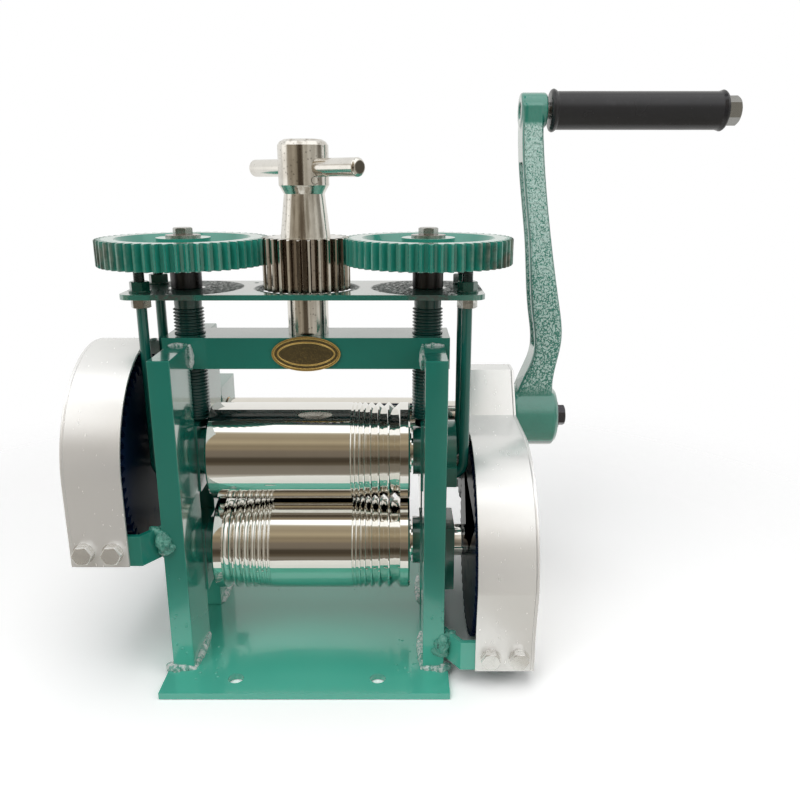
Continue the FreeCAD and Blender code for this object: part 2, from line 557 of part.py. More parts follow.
def drive_pinion(side, phase):
    pinion = gear_along_x(DRIVE_MODULE, DRIVE_TEETH, GEAR_FACE, phase, DRIVE_BACKLASH,
                          GEAR_X0, CRANK_Y, CRANK_Z)
    pinion = pinion.cut(rod_x(GEAR_X0 - 1, GEAR_X1 + 1, CRANK_Y, CRANK_Z, DRIVE_SEAT_R))
    return on_side(pinion.cut(drive_key(1)), side)


def idler_gear(phase):
    y, z = idler_centre()
    gear = gear_along_x(DRIVE_MODULE, IDLER_TEETH, GEAR_FACE, phase, DRIVE_BACKLASH, GEAR_X0, y, z)
    return gear.cut(rod_x(GEAR_X0 - 1, GEAR_X1 + 1, y, z, IDLER_PIN_R + RUNNING))


def idler_pin():
    """Pin fixed in the right bracket, with a collar on each side of the idler."""
    y, z = idler_centre()
    pin = rod_x(POST_INNER_X, GEAR_X1 + 4, y, z, IDLER_PIN_R)
    pin = pin.fuse(rod_x(POST_OUTER_X, GEAR_X0 - IDLER_GAP, y, z, IDLER_COLLAR_R))
    return pin.fuse(rod_x(GEAR_X1 + IDLER_GAP, GEAR_X1 + 2, y, z, IDLER_COLLAR_R)).removeSplitter()


# --- crank ------------------------------------------------------------------------------------

ARM_INNER = [(132.5, 330.0), (134.2, 288.0), (139.8, 243.0), (144.2, 195.0), (146.0, 168.0), (141.0, 154.0),
             (136.0, 140.5)]
ARM_OUTER = [(145.0, 330.0), (147.0, 302.0), (154.5, 246.0), (162.0, 204.0), (165.0, 178.0), (161.2, 155.0),
             (163.8, 130.0)]


def spline(points, y):
    curve = Part.BSplineCurve()
    curve.interpolate([V(x, y, z) for x, z in points])
    return curve.toShape()


def arm_slab(inner, outer, y0, y1):
    """Slab between an inner and an outer edge curve, drawn in the XZ plane."""
    edges = [spline(inner, y0), spline(outer, y0)]
    for (xa, za), (xb, zb) in ((inner[0], outer[0]), (inner[-1], outer[-1])):
        edges.append(Part.makeLine(V(xa, y0, za), V(xb, y0, zb)))
    wire = Part.Wire(Part.__sortEdges__(edges))
    return Part.Face(wire).extrude(V(0, y1 - y0, 0))


def crank_arm():
    """Cast arm of I section with a hub on the cross shaft and an eye for the grip's spindle."""
    y0, y1 = CRANK_Y - ARM_HALF_Y, CRANK_Y + ARM_HALF_Y
    body = arm_slab(ARM_INNER, ARM_OUTER, y0, y1)
    long_edges = [edge for edge in body.Edges if edge.Length > 150]
    body = body.makeFillet(ARM_ROUND, long_edges)
    middle = [((a[0] + b[0]) / 2, (a[1] + b[1]) / 2) for a, b in zip(ARM_INNER, ARM_OUTER)]
    first, last = 1, 5
    inner_web = [(x - ARM_WEB / 2, z) for x, z in middle[first:last]]
    outer_web = [(x + ARM_WEB / 2, z) for x, z in middle[first:last]]
    inner_side = [(x - ARM_INNER_REACH - ARM_WEB / 2, z) for x, z in middle[first:last]]
    outer_side = [(x + ARM_OUTER_REACH + ARM_WEB / 2, z) for x, z in middle[first:last]]
    body = body.cut(arm_slab(inner_side, inner_web, y0 + ARM_RAIL, y1 - ARM_RAIL))
    body = body.cut(arm_slab(outer_web, outer_side, y0 + ARM_RAIL, y1 - ARM_RAIL))
    eye_z = CRANK_Z + CRANK_LENGTH
    small, large = EYE_CHAMFER, HUB_CHAMFER
    hub = turned_x([(HUB_X0, 0), (HUB_X0, HUB_R - small), (HUB_X0 + small, HUB_R), (HUB_X1 - large, HUB_R),
                    (HUB_X1, HUB_R - large), (HUB_X1, 0)], CRANK_Y, CRANK_Z)
    eye = turned_x([(EYE_X0, 0), (EYE_X0, EYE_R - small), (EYE_X0 + small, EYE_R), (EYE_X1 - small, EYE_R),
                    (EYE_X1, EYE_R - small), (EYE_X1, 0)], CRANK_Y, eye_z)
    arm = body.fuse([hub, eye]).removeSplitter()
    arm = arm.cut(rod_x(HUB_X0 - 1, HUB_X1 + 1, CRANK_Y, CRANK_Z, DRIVE_SEAT_R))
    return arm.cut(rod_x(EYE_X0 - 1, EYE_X1 + 1, CRANK_Y, eye_z, SPINDLE_R)).cut(hub_key())


def crank_bolt():
    """Bolt and washer in the end of the cross shaft."""
    face = HUB_X1 + M8_WASHER
    washer = sleeve_x(HUB_X1, face, CRANK_Y, CRANK_Z, M8_WASHER_R, M8_R)
    head = hexagon(V(face, CRANK_Y, CRANK_Z), M8_AF, M8_HEAD, V(1, 0, 0))
    shank = rod_x(HUB_X1 - CRANK_BOLT_REACH, face, CRANK_Y, CRANK_Z, M8_R)
    return washer, head.fuse(shank).removeSplitter()


def grip_spindle():
    """Long bolt through the grip, screwed into the arm's eye."""
    z, face = CRANK_Z + CRANK_LENGTH, GRIP_X1 + 0.4
    head = hexagon(V(face, CRANK_Y, z), SPINDLE_AF, SPINDLE_HEAD, V(1, 0, 0))
    return head.fuse(rod_x(EYE_X0 + 1, face, CRANK_Y, z, SPINDLE_R)).removeSplitter()


def grip():
    """Turned grip with a rounded bead at each end."""
    z = CRANK_Z + CRANK_LENGTH
    bead, body = GRIP_BEAD_R, GRIP_R
    a, b = GRIP_X0, GRIP_X1
    profile = [(a, SPINDLE_R + RUNNING), (a, bead - 2), (a + 0.6, bead - 0.8), (a + 2, bead),
               (a + 3.4, bead - 0.6), (a + 4.6, body), (b - 5.2, body), (b - 3.8, bead - 1.2),
               (b - 2.2, bead - 0.6), (b - 0.8, bead - 1.4), (b, bead - 3), (b, SPINDLE_R + RUNNING)]
    return turned_x(profile, CRANK_Y, z)


# --- guards -----------------------------------------------------------------------------------

def at(y, z):
    return V(0, y, z)


def left_guard_path():
    """Outer line of the left guard: up the front, round the upper gear and down behind the cross shaft."""
    r, tail, z = LEFT_GUARD_R, LEFT_TAIL_R, LEFT_GUARD_Z
    tilt = math.acos((r - tail) / CRANK_Y)
    join = at(r * math.cos(tilt), z + r * math.sin(tilt))
    tail_join = at(CRANK_Y + tail * math.cos(tilt), z + tail * math.sin(tilt))
    tail_middle = at(CRANK_Y + tail * math.cos(tilt / 2), z + tail * math.sin(tilt / 2))
    over = math.radians(120)
    return [Part.LineSegment(at(LEFT_FRONT_Y, LEFT_GUARD_BOTTOM), at(-r, z)),
            Part.Arc(at(-r, z), at(r * math.cos(over), z + r * math.sin(over)), join),
            Part.LineSegment(join, tail_join),
            Part.Arc(tail_join, tail_middle, at(CRANK_Y + tail, z)),
            Part.LineSegment(at(CRANK_Y + tail, z), at(CRANK_Y + tail, LEFT_GUARD_BOTTOM))]


def right_guard_path():
    """Outer line of the right guard: round the lower gear, then a box over the drive pinion and idler."""
    r = RIGHT_GUARD_R
    top = LOWER_Z + r
    corner = BOX_CORNER
    cut = corner * (1 - math.sqrt(0.5))
    return [Part.LineSegment(at(RIGHT_FRONT_Y, RIGHT_GUARD_BOTTOM), at(RIGHT_FRONT_Y, RIGHT_FRONT_Z)),
            Part.LineSegment(at(RIGHT_FRONT_Y, RIGHT_FRONT_Z), at(-r, LOWER_Z)),
            Part.Arc(at(-r, LOWER_Z), at(-r * math.sqrt(0.5), LOWER_Z + r * math.sqrt(0.5)), at(0, top)),
            Part.LineSegment(at(0, top), at(BOX_FRONT_Y0, top)),
            Part.LineSegment(at(BOX_FRONT_Y0, top), at(BOX_FRONT_Y1, BOX_TOP_Z)),
            Part.LineSegment(at(BOX_FRONT_Y1, BOX_TOP_Z), at(BOX_BACK_Y - corner, BOX_TOP_Z)),
            Part.Arc(at(BOX_BACK_Y - corner, BOX_TOP_Z), at(BOX_BACK_Y - cut, BOX_TOP_Z - cut),
                     at(BOX_BACK_Y, BOX_TOP_Z - corner)),
            Part.LineSegment(at(BOX_BACK_Y, BOX_TOP_Z - corner), at(BOX_BACK_Y, BOX_BACK_Z0))]


def cover_face(path, foot_z):
    """Flat face inside the guard's outer line, reaching down to foot_z under the big gear."""
    edges = [curve.toShape() for curve in path]
    corners = [path[-1].EndPoint, at(FOOT_Y1, foot_z), at(FOOT_Y0, foot_z), path[0].StartPoint]
    edges += [Part.makeLine(a, b) for a, b in zip(corners, corners[1:])]
    return Part.Face(Part.Wire(edges))


def guard_pieces(path, foot_z, reach):
    """Bent sheet band and flat side cover of a guard, drawn on the right side between reach in X."""
    x0, x1 = reach
    outer = Part.Wire([curve.toShape() for curve in path])
    inner = outer.makeOffset2D(SHEET, openResult=True, join=2)
    ends = [wire.OrderedVertexes[i].Point for wire in (outer, inner) for i in (0, -1)]
    outer_start, outer_end, inner_start, inner_end = ends
    if (inner_start - outer_start).Length > (inner_end - outer_start).Length:
        inner_start, inner_end = inner_end, inner_start
    caps = [Part.makeLine(outer_end, inner_end), Part.makeLine(inner_start, outer_start)]
    section = Part.Wire(Part.__sortEdges__(outer.Edges + inner.Edges + caps))
    band = Part.Face(section).extrude(V(x1 - COVER - x0, 0, 0))
    band.translate(V(x0, 0, 0))
    cover = cover_face(path, foot_z).extrude(V(COVER, 0, 0))
    cover.translate(V(x1 - COVER, 0, 0))
    return band, cover


def strap(z, outer_y, root_y, guard_x1, bolts_x):
    """Bent flat bar from the side of the frame to the inside of a guard's band, on the right side."""
    sign = -1 if outer_y < 0 else 1
    face = outer_y - sign * SHEET
    back = face - sign * STRAP_THICK
    bend = POST_OUTER_X + STRAP_BEND_X
    tip = guard_x1 - COVER - 1
    points = [V(POST_OUTER_X, root_y, z), V(bend, face, z), V(tip, face, z), V(tip, back, z),
              V(bend + STRAP_THICK / 2, back, z), V(POST_OUTER_X, root_y - sign * STRAP_ROOT, z)]
    bar = prism(points, V(0, 0, STRAP_HEIGHT))
    for x in bolts_x:
        bar = bar.cut(rod_y(x, face - sign * 10, face + sign, z + STRAP_HEIGHT / 2, M6_R))
    return bar


def guard_bolts(z, outer_y, bolts_x):
    """Two hex bolts with washers outside the band and nuts behind the strap, on the right side."""
    sign = -1 if outer_y < 0 else 1
    face = outer_y + sign * M6_WASHER
    nut_y = outer_y - sign * (SHEET + STRAP_THICK)
    pieces = []
    for x in bolts_x:
        bore = rod_y(x, outer_y - 20, outer_y + 20, z, M6_R)
        washer = rod_y(x, outer_y, face, z, M6_WASHER_R)
        head = hexagon(V(x, face, z), M6_AF, M6_HEAD, V(0, sign, 0))
        shank = rod_y(x, nut_y - sign * (M6_NUT + 1), face, z, M6_R)
        nut = hexagon(V(x, nut_y, z), M6_AF, M6_NUT, V(0, -sign, 0))
        pieces += [washer.cut(bore), head.fuse(shank).removeSplitter(), nut.cut(bore)]
    return pieces


def bolt_holes(band, z, outer_y, bolts_x):
    for x in bolts_x:
        band = band.cut(rod_y(x, outer_y - 4, outer_y + 4, z, M6_R))
    return band


# --- build ------------------------------------------------------------------------------------

def build_frame():
    save("base_plate", base_plate())
    save("crossbeam", crossbeam())
    save("oval_plaque", plaque())
    y, z = idler_centre()
    for side, name in ((-1, "left"), (1, "right")):
        save(f"{name}_front_post", on_side(post(True), side))
        save(f"{name}_rear_post", on_side(post(False), side))
        save(f"{name}_lower_chock", on_side(lower_chock(), side))
    bush = sleeve_x(CHOCK_IN_X, CHOCK_OUT_X, 0, LOWER_Z, BUSH_R, JOURNAL_R + RUNNING)
    save("lower_bushes", bush, mirrored(bush))
    shaft_bush = sleeve_x(POST_INNER_X, POST_OUTER_X + 1, CRANK_Y, CRANK_Z, CROSS_BUSH_R,
                          CROSS_JOURNAL_R + RUNNING)
    save("shaft_bushes", shaft_bush, mirrored(shaft_bush))
    save("left_shaft_bracket", mirrored(shaft_bracket(LEFT_BRACKET_Z0)))
    save("right_shaft_bracket", shaft_bracket(RIGHT_BRACKET_Z0, (y, z)))
    save("idler_pin", idler_pin())


def build_guard(name, side, pieces, front, back, reach, bolts_x):
    """One side's guard. Front and back give the face's Y and the strap's lower edge Z."""
    band, cover = pieces
    guard_x1 = reach[1]
    roots = (STRAP_INSET - SLOT / 2 - POST_DEPTH, BRACKET_Y1 - STRAP_INSET)
    straps, fasteners = [], []
    for (outer_y, bottom), root_y in zip((front, back), roots):
        bolt_z = bottom + STRAP_HEIGHT / 2
        band = bolt_holes(band, bolt_z, outer_y, bolts_x)
        straps.append(strap(bottom, outer_y, root_y, guard_x1, bolts_x))
        fasteners += guard_bolts(bolt_z, outer_y, bolts_x)
    if side > 0:
        cover = cover.cut(rod_x(guard_x1 - 5, guard_x1 + 5, CRANK_Y, CRANK_Z, COVER_HOLE_R))
    save(f"{name}_guard_band", on_side(band, side))
    save(f"{name}_guard_cover", on_side(cover, side))
    save(f"{name}_guard_straps", *[on_side(piece, side) for piece in straps])
    save(f"{name}_guard_bolts", *[on_side(piece, side) for piece in fasteners])


def build_guards():
    left = guard_pieces(left_guard_path(), UPPER_Z - FOOT_DROP, LEFT_GUARD_X)
    build_guard("left", -1, left, (LEFT_FRONT_Y, LEFT_GUARD_BOTTOM),
                (CRANK_Y + LEFT_TAIL_R, LEFT_GUARD_BOTTOM + 2), LEFT_GUARD_X, LEFT_BOLTS_X)
    right = guard_pieces(right_guard_path(), LOWER_Z - FOOT_DROP, RIGHT_GUARD_X)
    build_guard("right", 1, right, (RIGHT_FRONT_Y, RIGHT_GUARD_BOTTOM),
                (BOX_BACK_Y, RIGHT_BRACKET_Z0 + 2), RIGHT_GUARD_X, RIGHT_BOLTS_X)


def build_lift():
    save("top_plate", top_plate())
    pads = []
    for side, name in ((-1, "left"), (1, "right")):
        save(f"{name}_upper_chock", on_side(upper_chock(), side))
        save(f"{name}_lift_rods", on_side(lift_rod(-ROD_Y), side), on_side(lift_rod(ROD_Y), side))
        nuts = [piece for y in (-ROD_Y, ROD_Y) for above in (True, False) for piece in rod_nut(y, above)]
        save(f"{name}_rod_nuts", *[on_side(piece, side) for piece in nuts])
        pads.append(on_side(thrust_pad(), side))
    save("thrust_pads", *pads)
    bush = sleeve_x(CHOCK_IN_X, CHOCK_OUT_X, 0, UPPER_Z, BUSH_R, JOURNAL_R + RUNNING)
    save("upper_bushes", bush, mirrored(bush))


def build_adjusters():
    for side, name in ((-1, "left"), (1, "right")):
        phase = mating_phase(PINION_TEETH, 0.0, TOP_TEETH, 0.0 if side > 0 else math.pi)
        save(f"{name}_screw", on_side(adjusting_screw(), side))
        save(f"{name}_screw_collar", on_side(screw_collar(), side))
        save(f"{name}_top_gear", top_gear(side, phase))
        save(f"{name}_gear_bolt", *gear_bolt(side * SCREW_X))
    save("adjusting_pinion", adjusting_pinion())
    save("tommy_bar", tommy_bar())
    save("pinion_retainer", *pinion_retainer())


def build_drive():
    y, z = idler_centre()
    from_pinion = math.atan2(z - CRANK_Z, y - CRANK_Y)
    idler_phase = mating_phase(DRIVE_TEETH, 0.0, IDLER_TEETH, from_pinion)
    from_idler = math.atan2(LOWER_Z - z, -y)
    lower_phase = mating_phase(IDLER_TEETH, idler_phase, ROLL_TEETH, from_idler)
    upper_phase = mating_phase(DRIVE_TEETH, 0.0, ROLL_TEETH, math.pi)
    save("upper_roll", roll(UPPER_Z, -1, False))
    save("upper_roll_gear", roll_gear(-1, UPPER_Z, upper_phase))
    save("upper_gear_key", mirrored(gear_key(UPPER_Z)))
    save("upper_roll_nut", *roll_nut(-1, UPPER_Z))
    save("lower_roll", roll(LOWER_Z, 1, True))
    save("lower_roll_gear", roll_gear(1, LOWER_Z, lower_phase))
    save("lower_gear_key", gear_key(LOWER_Z))
    save("lower_roll_nut", *roll_nut(1, LOWER_Z))
    save("cross_shaft", cross_shaft())
    save("left_drive_pinion", drive_pinion(-1, 0.0))
    save("right_drive_pinion", drive_pinion(1, 0.0))
    save("drive_keys", drive_key(-1), drive_key(1), hub_key())
    save("idler_gear", idler_gear(idler_phase))
    save("crank_arm", crank_arm())
    save("crank_bolt", *crank_bolt())
    save("grip_spindle", grip_spindle())
    save("grip", grip())


os.makedirs("parts", exist_ok=True)
build_frame()
build_guards()
build_lift()
build_adjusters()
build_drive()
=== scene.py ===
"""Finishes, weld beads, plaque and soft edges of a hand-cranked rolling mill, in metres."""

import json
import logging
import math
import random
from dataclasses import dataclass
from enum import Enum
from typing import Sequence

import bmesh
import bpy
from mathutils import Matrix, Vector


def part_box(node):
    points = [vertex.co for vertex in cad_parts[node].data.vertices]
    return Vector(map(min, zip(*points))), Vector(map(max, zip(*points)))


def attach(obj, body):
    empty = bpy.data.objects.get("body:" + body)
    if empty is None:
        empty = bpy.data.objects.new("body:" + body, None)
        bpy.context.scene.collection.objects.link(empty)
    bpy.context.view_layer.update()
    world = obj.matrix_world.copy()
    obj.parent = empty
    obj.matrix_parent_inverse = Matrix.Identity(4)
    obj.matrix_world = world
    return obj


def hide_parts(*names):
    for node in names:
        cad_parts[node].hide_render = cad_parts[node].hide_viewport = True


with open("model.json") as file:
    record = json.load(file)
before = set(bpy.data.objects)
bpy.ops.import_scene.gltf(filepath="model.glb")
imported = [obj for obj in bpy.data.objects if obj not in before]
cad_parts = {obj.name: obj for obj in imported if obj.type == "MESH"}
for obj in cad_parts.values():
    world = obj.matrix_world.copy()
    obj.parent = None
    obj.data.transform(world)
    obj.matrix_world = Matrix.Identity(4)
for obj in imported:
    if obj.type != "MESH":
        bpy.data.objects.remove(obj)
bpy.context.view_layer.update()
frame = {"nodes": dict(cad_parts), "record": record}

LOG = logging.getLogger("rolling_mill")
MM = 0.001

# Distance of both adjusting screws from the middle.
SCREW_X = 0.070875

Colour = tuple[float, float, float]
Point = tuple[float, float, float]

# Name, start, end and radius of a weld bead.
Run = tuple[str, Point, Point, float]

# Place of a colour on a ramp, from 0 to 1, and the colour.
Stop = tuple[float, Colour]


class Side(Enum):
    """The two sides of the machine, with the sign of their X."""

    LEFT = -1
    RIGHT = 1

    @property
    def word(self) -> str:
        """Name used at the start of the side's nodes."""
        return self.name.lower()


# --- shader building ----------------------------------------------------------------------------


class NodeSheet:
    """Short calls to add and join nodes in one node tree."""

    def __init__(self, tree: bpy.types.NodeTree) -> None:
        """Keep the tree that the calls work on."""
        self.tree = tree

    def add(self, kind: str, **settings: object) -> bpy.types.Node:
        """Add one node.

        Args:
            kind: Blender's node type without the ShaderNode prefix, or a full type name.
            settings: properties set on the node.

        Returns:
            The new node.
        """
        full = kind if kind.startswith("NodeGroup") else f"ShaderNode{kind}"
        node = self.tree.nodes.new(full)
        for name, value in settings.items():
            setattr(node, name, value)
        return node

    def join(self, source: bpy.types.NodeSocket, target: bpy.types.NodeSocket) -> None:
        """Link an output socket to an input socket."""
        self.tree.links.new(source, target)

    def feed(self, node: bpy.types.Node, **inputs: object) -> bpy.types.Node:
        """Set or link named inputs, where an underscore in the name stands for a space.

        Args:
            node: the node to feed.
            inputs: a plain value or an output socket for each input.

        Returns:
            The same node.
        """
        for name, value in inputs.items():
            socket = node.inputs[name.replace("_", " ")]
            if isinstance(value, bpy.types.NodeSocket):
                self.join(value, socket)
            else:
                socket.default_value = value
        return node

    def math(self, operation: str, a: object, b: object = 0.0,
             clamp: bool = False) -> bpy.types.NodeSocket:
        """Add a Math node.

        Args:
            operation: Blender's name of the operation.
            a: first value or socket.
            b: second value or socket.
            clamp: keep the result between 0 and 1.

        Returns:
            The node's output.
        """
        node = self.add("Math", operation=operation, use_clamp=clamp)
        for i, value in enumerate((a, b)):
            if isinstance(value, bpy.types.NodeSocket):
                self.join(value, node.inputs[i])
            else:
                node.inputs[i].default_value = value
        return node.outputs[0]

    def spread(self, value: bpy.types.NodeSocket, low: object, high: object,
               to_low: float = 0.0, to_high: float = 1.0) -> bpy.types.NodeSocket:
        """Map a value smoothly from one range to another.

        Args:
            value: the socket to map.
            low: value or socket that gives to_low.
            high: value or socket that gives to_high.
            to_low: lower result.
            to_high: upper result.

        Returns:
            The mapped value.
        """
        node = self.add("MapRange", interpolation_type="SMOOTHSTEP")
        self.feed(node, Value=value, From_Min=low, From_Max=high, To_Min=to_low, To_Max=to_high)
        return node.outputs["Result"]

    def blend(self, factor: object, a: object, b: object) -> bpy.types.NodeSocket:
        """Mix two colours.

        Args:
            factor: value or socket, 0 for a and 1 for b.
            a: first colour or socket.
            b: second colour or socket.

        Returns:
            The mixed colour.
        """
        node = self.add("Mix", data_type="RGBA")
        for index, value in ((0, factor), (6, a), (7, b)):
            if isinstance(value, bpy.types.NodeSocket):
                self.join(value, node.inputs[index])
            elif index == 0:
                node.inputs[index].default_value = value
            else:
                node.inputs[index].default_value = (*value, 1.0)
        return node.outputs[2]

    def place(self) -> bpy.types.NodeSocket:
        """Object coordinates in metres."""
        return self.add("TexCoord").outputs["Object"]

    def noise(self, place: bpy.types.NodeSocket, scale: float, detail: float = 2.0,
              roughness: float = 0.5, stretch: Point = (1.0, 1.0, 1.0)) -> bpy.types.NodeSocket:
        """Add a noise texture.

        Args:
            place: coordinates.
            scale: how fine the noise is, per metre.
            detail: number of finer layers.
            roughness: strength of the finer layers.
            stretch: scale of each axis.

        Returns:
            The noise value, from 0 to 1.
        """
        mapping = self.feed(self.add("Mapping"), Vector=place, Scale=stretch)
        node = self.feed(self.add("TexNoise"), Vector=mapping.outputs[0], Scale=scale, Detail=detail,
                         Roughness=roughness)
        return node.outputs["Fac"]

    def coordinate(self, place: bpy.types.NodeSocket, letter: str) -> bpy.types.NodeSocket:
        """One coordinate of a vector."""
        return self.feed(self.add("SeparateXYZ"), Vector=place).outputs[letter]

    def off_axis(self, place: bpy.types.NodeSocket, centre: Point) -> bpy.types.NodeSocket:
        """Measure how far a place is from an upright line.

        Args:
            place: coordinates in metres.
            centre: a point on the line.

        Returns:
            The distance in metres.
        """
        moved = self.feed(self.add("VectorMath", operation="SUBTRACT"), Vector=place)
        moved.inputs[1].default_value = centre
        flat = self.add("VectorMath", operation="MULTIPLY")
        self.join(moved.outputs[0], flat.inputs[0])
        flat.inputs[1].default_value = (1.0, 1.0, 0.0)
        length = self.add("VectorMath", operation="LENGTH")
        self.join(flat.outputs[0], length.inputs[0])
        return length.outputs["Value"]

    def bump(self, height: bpy.types.NodeSocket, strength: float, distance: float) -> bpy.types.NodeSocket:
        """Turn a height into a normal, where distance is a full step's height in metres."""
        node = self.feed(self.add("Bump"), Height=height, Strength=strength, Distance=distance)
        return node.outputs["Normal"]


class ShaderGroups:
    """Effects that several finishes share, each built once as a node group."""

    def __init__(self) -> None:
        """Start with no group built."""
        self.built: dict[str, bpy.types.NodeTree] = {}

    def start(self, name: str, inputs: dict[str, float], outputs: Sequence[str],
              colours: Sequence[str] = ()) -> tuple[NodeSheet, bpy.types.Node, bpy.types.Node]:
        """Make an empty group with its sockets.

        Args:
            name: the group's name.
            inputs: name and default value of each number that goes in.
            outputs: names of the values that come out.
            colours: names of the colours that go in.

        Returns:
            The sheet of the group, its input node and its output node.
        """
        tree = bpy.data.node_groups.new(name, "ShaderNodeTree")
        for title in colours:
            tree.interface.new_socket(title, in_out="INPUT", socket_type="NodeSocketColor")
        for title, value in inputs.items():
            socket = tree.interface.new_socket(title, in_out="INPUT", socket_type="NodeSocketFloat")
            socket.default_value = value
        for title in outputs:
            kind = {"Colour": "NodeSocketColor", "Normal": "NodeSocketVector"}.get(title, "NodeSocketFloat")
            tree.interface.new_socket(title, in_out="OUTPUT", socket_type=kind)
        sheet = NodeSheet(tree)
        self.built[name] = tree
        return sheet, sheet.add("NodeGroupInput"), sheet.add("NodeGroupOutput")

    def edge_wear(self) -> bpy.types.NodeTree:
        """Mask of outer edges, broken up by noise: inputs Radius and Breakup.

        Returns:
            The group, with the output Mask.
        """
        if "edge_wear" in self.built:
            return self.built["edge_wear"]
        sheet, given, result = self.start("edge_wear", {"Radius": 0.0006, "Breakup": 0.5}, ["Mask"])
        rounded = sheet.add("Bevel", samples=4)
        sheet.join(given.outputs["Radius"], rounded.inputs["Radius"])
        flat = sheet.add("NewGeometry").outputs["Normal"]
        turn = sheet.add("VectorMath", operation="DOT_PRODUCT")
        sheet.join(rounded.outputs[0], turn.inputs[0])
        sheet.join(flat, turn.inputs[1])
        edge = sheet.spread(turn.outputs["Value"], 0.985, 0.90)
        rough = sheet.spread(sheet.noise(sheet.place(), 420.0, 3.0, 0.6), 0.35, 0.65)
        broken = sheet.math("MULTIPLY", rough, given.outputs["Breakup"])
        sheet.join(sheet.math("SUBTRACT", edge, broken, clamp=True), result.inputs["Mask"])
        return sheet.tree

    def colour_drift(self) -> bpy.types.NodeTree:
        """A colour that wanders a little lighter and darker: inputs Colour, Amount and Scale.

        Returns:
            The group, with the output Colour.
        """
        if "colour_drift" in self.built:
            return self.built["colour_drift"]
        sheet, given, result = self.start("colour_drift", {"Amount": 0.1, "Scale": 25.0}, ["Colour"],
                                          ["Colour"])
        noise = sheet.feed(sheet.add("TexNoise"), Vector=sheet.place(), Scale=given.outputs["Scale"],
                           Detail=3.0)
        centred = sheet.math("SUBTRACT", noise.outputs["Fac"], 0.5)
        swing = sheet.math("MULTIPLY", centred, given.outputs["Amount"])
        shade = sheet.feed(sheet.add("HueSaturation"), Color=given.outputs["Colour"],
                           Value=sheet.math("ADD", sheet.math("MULTIPLY", swing, 2.0), 1.0))
        sheet.join(shade.outputs[0], result.inputs["Colour"])
        return sheet.tree

    def enamel_shade(self) -> bpy.types.NodeTree:
        """Enamel colour with painted light near the base and painted shade on undersides.

        The inputs are Paint, Low Paint for the painted light, the colour of the painted shade, Bottom and
        Top.

        Returns:
            The group, with the output Colour.
        """
        if "enamel_shade" in self.built:
            return self.built["enamel_shade"]
        sheet, given, result = self.start("enamel_shade", {"Bottom": 0.0, "Top": 0.1}, ["Colour"],
                                          ["Paint", "Low Paint", "Primer"])
        height = sheet.coordinate(sheet.place(), "Z")
        facing = sheet.coordinate(sheet.add("TexCoord").outputs["Normal"], "Z")
        # painted shade: faces turned down are darkened towards the shade colour
        under = sheet.math("MULTIPLY", sheet.spread(facing, -0.6, -0.9), 0.9)
        # painted light: the paint grows paler towards the base, as if lit by the floor
        low = sheet.spread(height, given.outputs["Top"], given.outputs["Bottom"])
        paint = sheet.blend(low, given.outputs["Paint"], given.outputs["Low Paint"])
        sheet.join(sheet.blend(under, paint, given.outputs["Primer"]), result.inputs["Colour"])
        return sheet.tree

    def paint_skin(self) -> bpy.types.NodeTree:
        """Slow waves, orange peel and a few dust nibs of brushed-on enamel: inputs Peel, Waves and Nibs.

        Returns:
            The group, with the output Height.
        """
        if "paint_skin" in self.built:
            return self.built["paint_skin"]
        sheet, given, result = self.start("paint_skin", {"Peel": 0.2, "Waves": 0.5, "Nibs": 0.5},
                                          ["Height"])
        place = sheet.place()
        waves = sheet.math("MULTIPLY", sheet.noise(place, 38.0, 1.0), given.outputs["Waves"])
        peel = sheet.math("MULTIPLY", sheet.noise(place, 520.0, 1.0), given.outputs["Peel"])
        cells = sheet.feed(sheet.add("TexVoronoi", feature="F1"), Vector=place, Scale=95.0)
        near = sheet.spread(cells.outputs["Distance"], 0.09, 0.02)
        chosen = sheet.math("GREATER_THAN", sheet.noise(place, 60.0, 0.0), 0.56)
        nibs = sheet.math("MULTIPLY", sheet.math("MULTIPLY", near, chosen), given.outputs["Nibs"])
        total = sheet.math("ADD", sheet.math("ADD", waves, peel), nibs)
        sheet.join(total, result.inputs["Height"])
        return sheet.tree

    def fine_lines(self) -> bpy.types.NodeTree:
        """Fine machining or brushing lines: inputs Along X, Along Y, Along Z and Scale.

        A small value along an axis draws the lines out that way.

        Returns:
            The group, with the output Mask.
        """
        if "fine_lines" in self.built:
            return self.built["fine_lines"]
        sheet, given, result = self.start(
            "fine_lines", {"Along X": 1.0, "Along Y": 1.0, "Along Z": 1.0, "Scale": 900.0}, ["Mask"])
        stretch = sheet.feed(sheet.add("CombineXYZ"), X=given.outputs["Along X"],
                             Y=given.outputs["Along Y"], Z=given.outputs["Along Z"])
        mapping = sheet.feed(sheet.add("Mapping"), Vector=sheet.place(), Scale=stretch.outputs[0])
        noise = sheet.feed(sheet.add("TexNoise"), Vector=mapping.outputs[0], Scale=given.outputs["Scale"],
                           Detail=3.0, Roughness=0.65)
        sheet.join(noise.outputs["Fac"], result.inputs["Mask"])
        return sheet.tree

    def specks(self) -> bpy.types.NodeTree:
        """Scattered small round spots: inputs Scale, Size and Share.

        Returns:
            The group, with the output Mask.
        """
        if "specks" in self.built:
            return self.built["specks"]
        sheet, given, result = self.start("specks", {"Scale": 300.0, "Size": 0.2, "Share": 0.5}, ["Mask"])
        place = sheet.place()
        cells = sheet.feed(sheet.add("TexVoronoi", feature="F1"), Vector=place,
                           Scale=given.outputs["Scale"])
        inside = sheet.math("LESS_THAN", cells.outputs["Distance"], given.outputs["Size"])
        patch = sheet.noise(place, 28.0, 2.0)
        chosen = sheet.math("GREATER_THAN", sheet.math("ADD", patch, given.outputs["Share"]), 1.0)
        sheet.join(sheet.math("MULTIPLY", inside, chosen), result.inputs["Mask"])
        return sheet.tree


GROUPS = ShaderGroups()

# Materials that are built already, by the name of their finish.
FINISHED: dict[str, bpy.types.Material] = {}


